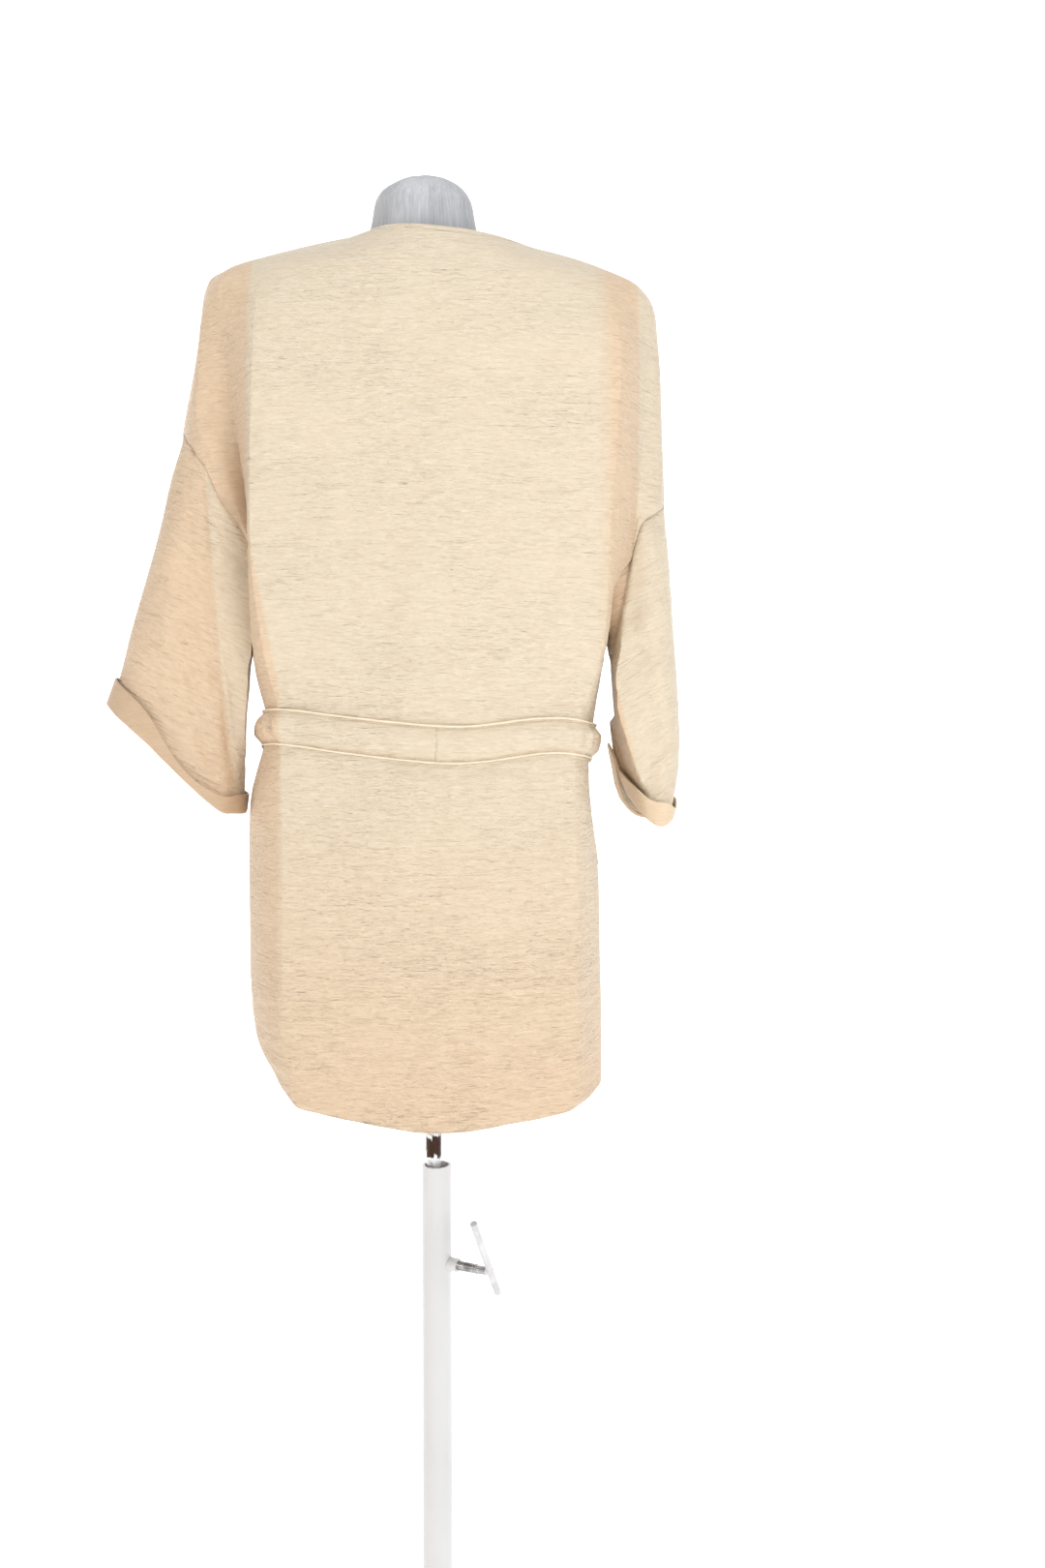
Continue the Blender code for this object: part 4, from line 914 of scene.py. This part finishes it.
def stitches_round(piece, line, inset, name, material):
    """A row of stitches beside one of the channel's edges: long ones, with short ones in the gaps between."""
    path = [
        (hit + normal * STITCH_RADIUS * STITCH_SUNK, normal)
        for hit, normal, _ in path_round(piece, line, inset, STITCH_PATH)
    ]
    shape = bmesh.new()
    walked, start = 0.0, path[0][0]
    for (previous, _), (point, normal) in zip(path, path[1:]):
        walked += (point - previous).length
        if walked >= STITCH_LENGTH:
            add_stitch(shape, start, point, normal)
            start = point
        if walked >= STITCH_LENGTH + STITCH_GAP:
            walked = 0.0
    return dress(add_object(name, mesh_from(shape, name)), material, "form", "crepe")


def edge_roll(piece, line, inset, name, material):
    """The turned edge of the channel, a thin roll along it."""
    path = [hit + away * ROLL * ROLL_OUT for hit, _, away in path_round(piece, line, inset, ROLL_PATH)]
    return welt(name, path, material, None, closed=True, radius=ROLL)


def add_stitch(shape, start, end, normal):
    """One stitch: a short thread, thickest in the middle, with its ends sunk into the cloth."""
    ahead = end - start
    side = ahead.cross(normal).normalized()
    rings = []
    for share, size, rise in STITCH_RINGS:
        centre = start + ahead * share + normal * STITCH_RADIUS * rise
        ring = []
        for k in range(STITCH_SIDES):
            turn = TURN * k / STITCH_SIDES
            way = side * math.cos(turn) + normal * math.sin(turn)
            ring.append(shape.verts.new(centre + way * STITCH_RADIUS * size))
        rings.append(ring)
    for near, far in zip(rings, rings[1:]):
        for k in range(STITCH_SIDES):
            after = (k + 1) % STITCH_SIDES
            shape.faces.new((near[k], near[after], far[after], far[k]))
    shape.faces.new(rings[0][::-1])
    shape.faces.new(rings[-1])


def clamp_thread(material):
    """The thread's ridges on the clamp screw, between the pole's boss and the T bar."""
    joint = clamp_joint()
    axis = Vector(joint["axis"]).normalized()
    centre = Vector((0.0, 0.0, joint["pos_m"][2]))
    side = axis.cross(Vector((0.0, 0.0, 1.0))).normalized()
    up = side.cross(axis)
    curve = bpy.data.curves.new("clamp_thread", "CURVE")
    curve.dimensions = "3D"
    curve.bevel_depth, curve.bevel_resolution = RIDGE_RADIUS, 2
    curve.use_fill_caps = True
    length = THREAD_TO - THREAD_FROM
    count = int(length / THREAD_PITCH * THREAD_SIDES)
    line = curve.splines.new("POLY")
    line.points.add(count)
    for k in range(count + 1):
        turn = TURN * k / THREAD_SIDES
        place = centre + axis * (THREAD_FROM + length * k / count)
        place += (side * math.cos(turn) + up * math.sin(turn)) * THREAD_RADIUS
        line.points[k].co = (*place, 1.0)
    return dress(add_object("clamp_thread", curve), material, "clamp", "chrome")


def garment():
    """The cloth's pieces, each with its material, and their seams."""
    body_crepe = crepe("crepe_body", 0.0)
    left_tilt, right_tilt = math.radians(-24), math.radians(27)
    left_crepe = crepe("crepe_left_sleeve", left_tilt, 1.15, folded=True)
    right_crepe = crepe("crepe_right_sleeve", right_tilt, 0.85)
    # The left turn-up's crepe carries painted shade.
    turned_left_shaded = crepe("crepe_turn_up_left_shaded", 0.0, 0.3, TURN_UP_LEFT_SHADED)
    turned_right = crepe("crepe_turn_up_right", 0.0, 0.3, TURN_UP_RIGHT)
    seam = crepe("crepe_seam_shade", 0.0, 0.3, SEAM_SHADE_COLOURS)
    edge = crepe("crepe_edge_highlight", 0.0, 0.3, ROLL_HIGHLIGHT_COLOURS)
    thread = Shader("sewing_thread", 0.5, Sheen_Weight=0.3)
    twist = thread.noise((900.0, 900.0, 900.0))
    thread.colour(thread.ramp(twist, (0.35, THREAD_SHADE), (0.6, THREAD)))
    left_field = sleeve_field(1, LEFT_SLEEVE_FOLDS, left_tilt)
    right_field = sleeve_field(-1, RIGHT_SLEEVE_FOLDS, right_tilt)
    for node, levels, field, cloth, slot in (
        ("back", 2, body_field, body_crepe, "crepe"),
        ("front", 2, body_field, body_crepe, "crepe"),
        ("sleeve_left", 3, left_field, left_crepe, "crepe"),
        ("sleeve_right", 3, right_field, right_crepe, "crepe"),
        ("cuff_left", 3, left_field, turned_left_shaded, "crepe_reverse"),
        ("cuff_right", 3, right_field, turned_right, "crepe_reverse"),
        ("neck_binding", 3, body_field, body_crepe, "crepe"),
    ):
        is_sleeve = node in ("sleeve_left", "sleeve_right")
        piece = fine_copy(node, node + "_cloth", levels, node in ("back", "front"), is_sleeve)
        if node in ("back", "front"):
            refine_outside(piece)
        if is_sleeve:
            flatten_sleeve(piece, 1 if node == "sleeve_left" else -1)
        move_points(piece, field)
        dress(piece, cloth, "form", slot, node)
    sides = seam_lines("front", "back")
    side_welts = [
        welt(f"welt_side_{number}", line, body_crepe, body_field) for number, line in enumerate(sides)
    ]
    # The arm seams take the dark painted shade.
    for name in ("left", "right"):
        rims = seam_lines("sleeve_" + name, "back") + seam_lines("sleeve_" + name, "front")
        [
            welt(f"welt_arm_{name}_{number}", line, seam, body_field) for number, line in enumerate(rims)
        ]
    channel = fine_copy("waist_casing", "waist_casing_cloth", 3)
    top, foot = shape_channel(channel)
    dress(channel, body_crepe, "form", "crepe", "waist_casing")
    rows = [
        stitches_round(channel, top, -STITCH_INSET, "stitches_channel_top", thread.material),
        stitches_round(channel, foot, STITCH_INSET, "stitches_channel_foot", thread.material),
        # The turned edges wear the painted highlight.
        edge_roll(channel, top, -ROLL * ROLL_INSET, "roll_channel_top", edge),
        edge_roll(channel, foot, ROLL * ROLL_INSET, "roll_channel_foot", edge),
    ]


def lift_dome(points):
    """Brings the neck's dome back up to its own height, which the smoothing rounds off."""
    lift = np.zeros_like(points)
    away = np.hypot(points[:, 0] - DOME_AT[0], points[:, 1] - DOME_AT[1]) / DOME_RADIUS
    lift[:, 2] = DOME_LIFT * smooth_step((points[:, 2] - DOME_FOOT) / (DOME_TOP - DOME_FOOT))
    lift[:, 2] *= np.clip(DOME_CENTRE - DOME_FALL * away ** 2, 0.0, DOME_CENTRE)
    return lift


def stand():
    """The dress form's jersey, and the finish of the pole, plate, mast and clamp."""
    cover = fine_copy("dress_form", "form_cover", 2)
    move_points(cover, lift_dome)
    dress(cover, jersey(), "form", "jersey", "dress_form")
    paint, steel = white_paint(), clamp_finish()
    for node, material in (
        ("pole", paint), ("base_plate", paint), ("mast", wrapped_film()), ("clamp_screw", steel)
    ):
        slots = frame["nodes"][node].data.materials
        for k in range(len(slots)):
            slots[k] = material
    clamp_thread(steel)


def backdrop():
    """Wide pale floor that runs up, through a cove, into a bright wall far behind the object."""
    shape = bmesh.new()
    profile = [(STUDIO_NEAR, 0.0), (0.0, 0.0)]
    for k in range(COVE_STEPS + 1):
        turn = k * math.pi / 2 / COVE_STEPS
        profile.append((WALL_Y + COVE - COVE * math.sin(turn), COVE - COVE * math.cos(turn)))
    profile.append((WALL_Y, WALL_TOP))
    rows = [[shape.verts.new((x, y, z)) for x in (-STUDIO_HALF, STUDIO_HALF)] for y, z in profile]
    for near, far in zip(rows, rows[1:]):
        shape.faces.new((near[0], near[1], far[1], far[0]))
    floor = add_object("studio_floor", mesh_from(shape, "studio_floor"))
    white = Shader("studio_white", 0.9, Emission_Color=(1.0, 1.0, 1.0, 1.0))
    behind = white.math("MULTIPLY_ADD", white.place_parts()[1], -0.5, 0.0, clamp=True)
    white.set(white.surface, Emission_Strength=white.math("MULTIPLY_ADD", behind, GLOW_BEHIND, GLOW_ROUND))
    white.colour((0.85, 0.85, 0.85, 1.0))
    floor.data.materials.append(white.material)


def lights():
    """White surroundings and five soft round lamps."""
    world = bpy.data.worlds.new("studio")
    world.use_nodes = True
    background = world.node_tree.nodes["Background"]
    background.inputs["Color"].default_value = (1.0, 1.0, 1.0, 1.0)
    background.inputs["Strength"].default_value = WORLD_STRENGTH
    bpy.context.scene.world = world
    for name, place, aim, size, energy, colour in LAMPS:
        lamp = bpy.data.lights.new(name, "AREA")
        lamp.shape, lamp.size, lamp.energy, lamp.color = "DISK", size, energy, colour
        light = add_object(name, lamp)
        light.location = place
        light.rotation_euler = (Vector(aim) - Vector(place)).to_track_quat("-Z", "Y").to_euler()


def camera():
    lens = bpy.data.cameras.new("camera")
    lens.lens, lens.sensor_width, lens.sensor_fit = CAMERA_LENS, CAMERA_SENSOR, "AUTO"
    made = add_object("camera", lens)
    made.location, made.rotation_euler = CAMERA_AT, CAMERA_TURN
    bpy.context.scene.camera = made


camera()
stand()
garment()
backdrop()
lights()
bpy.context.scene.view_settings.view_transform = "Standard"
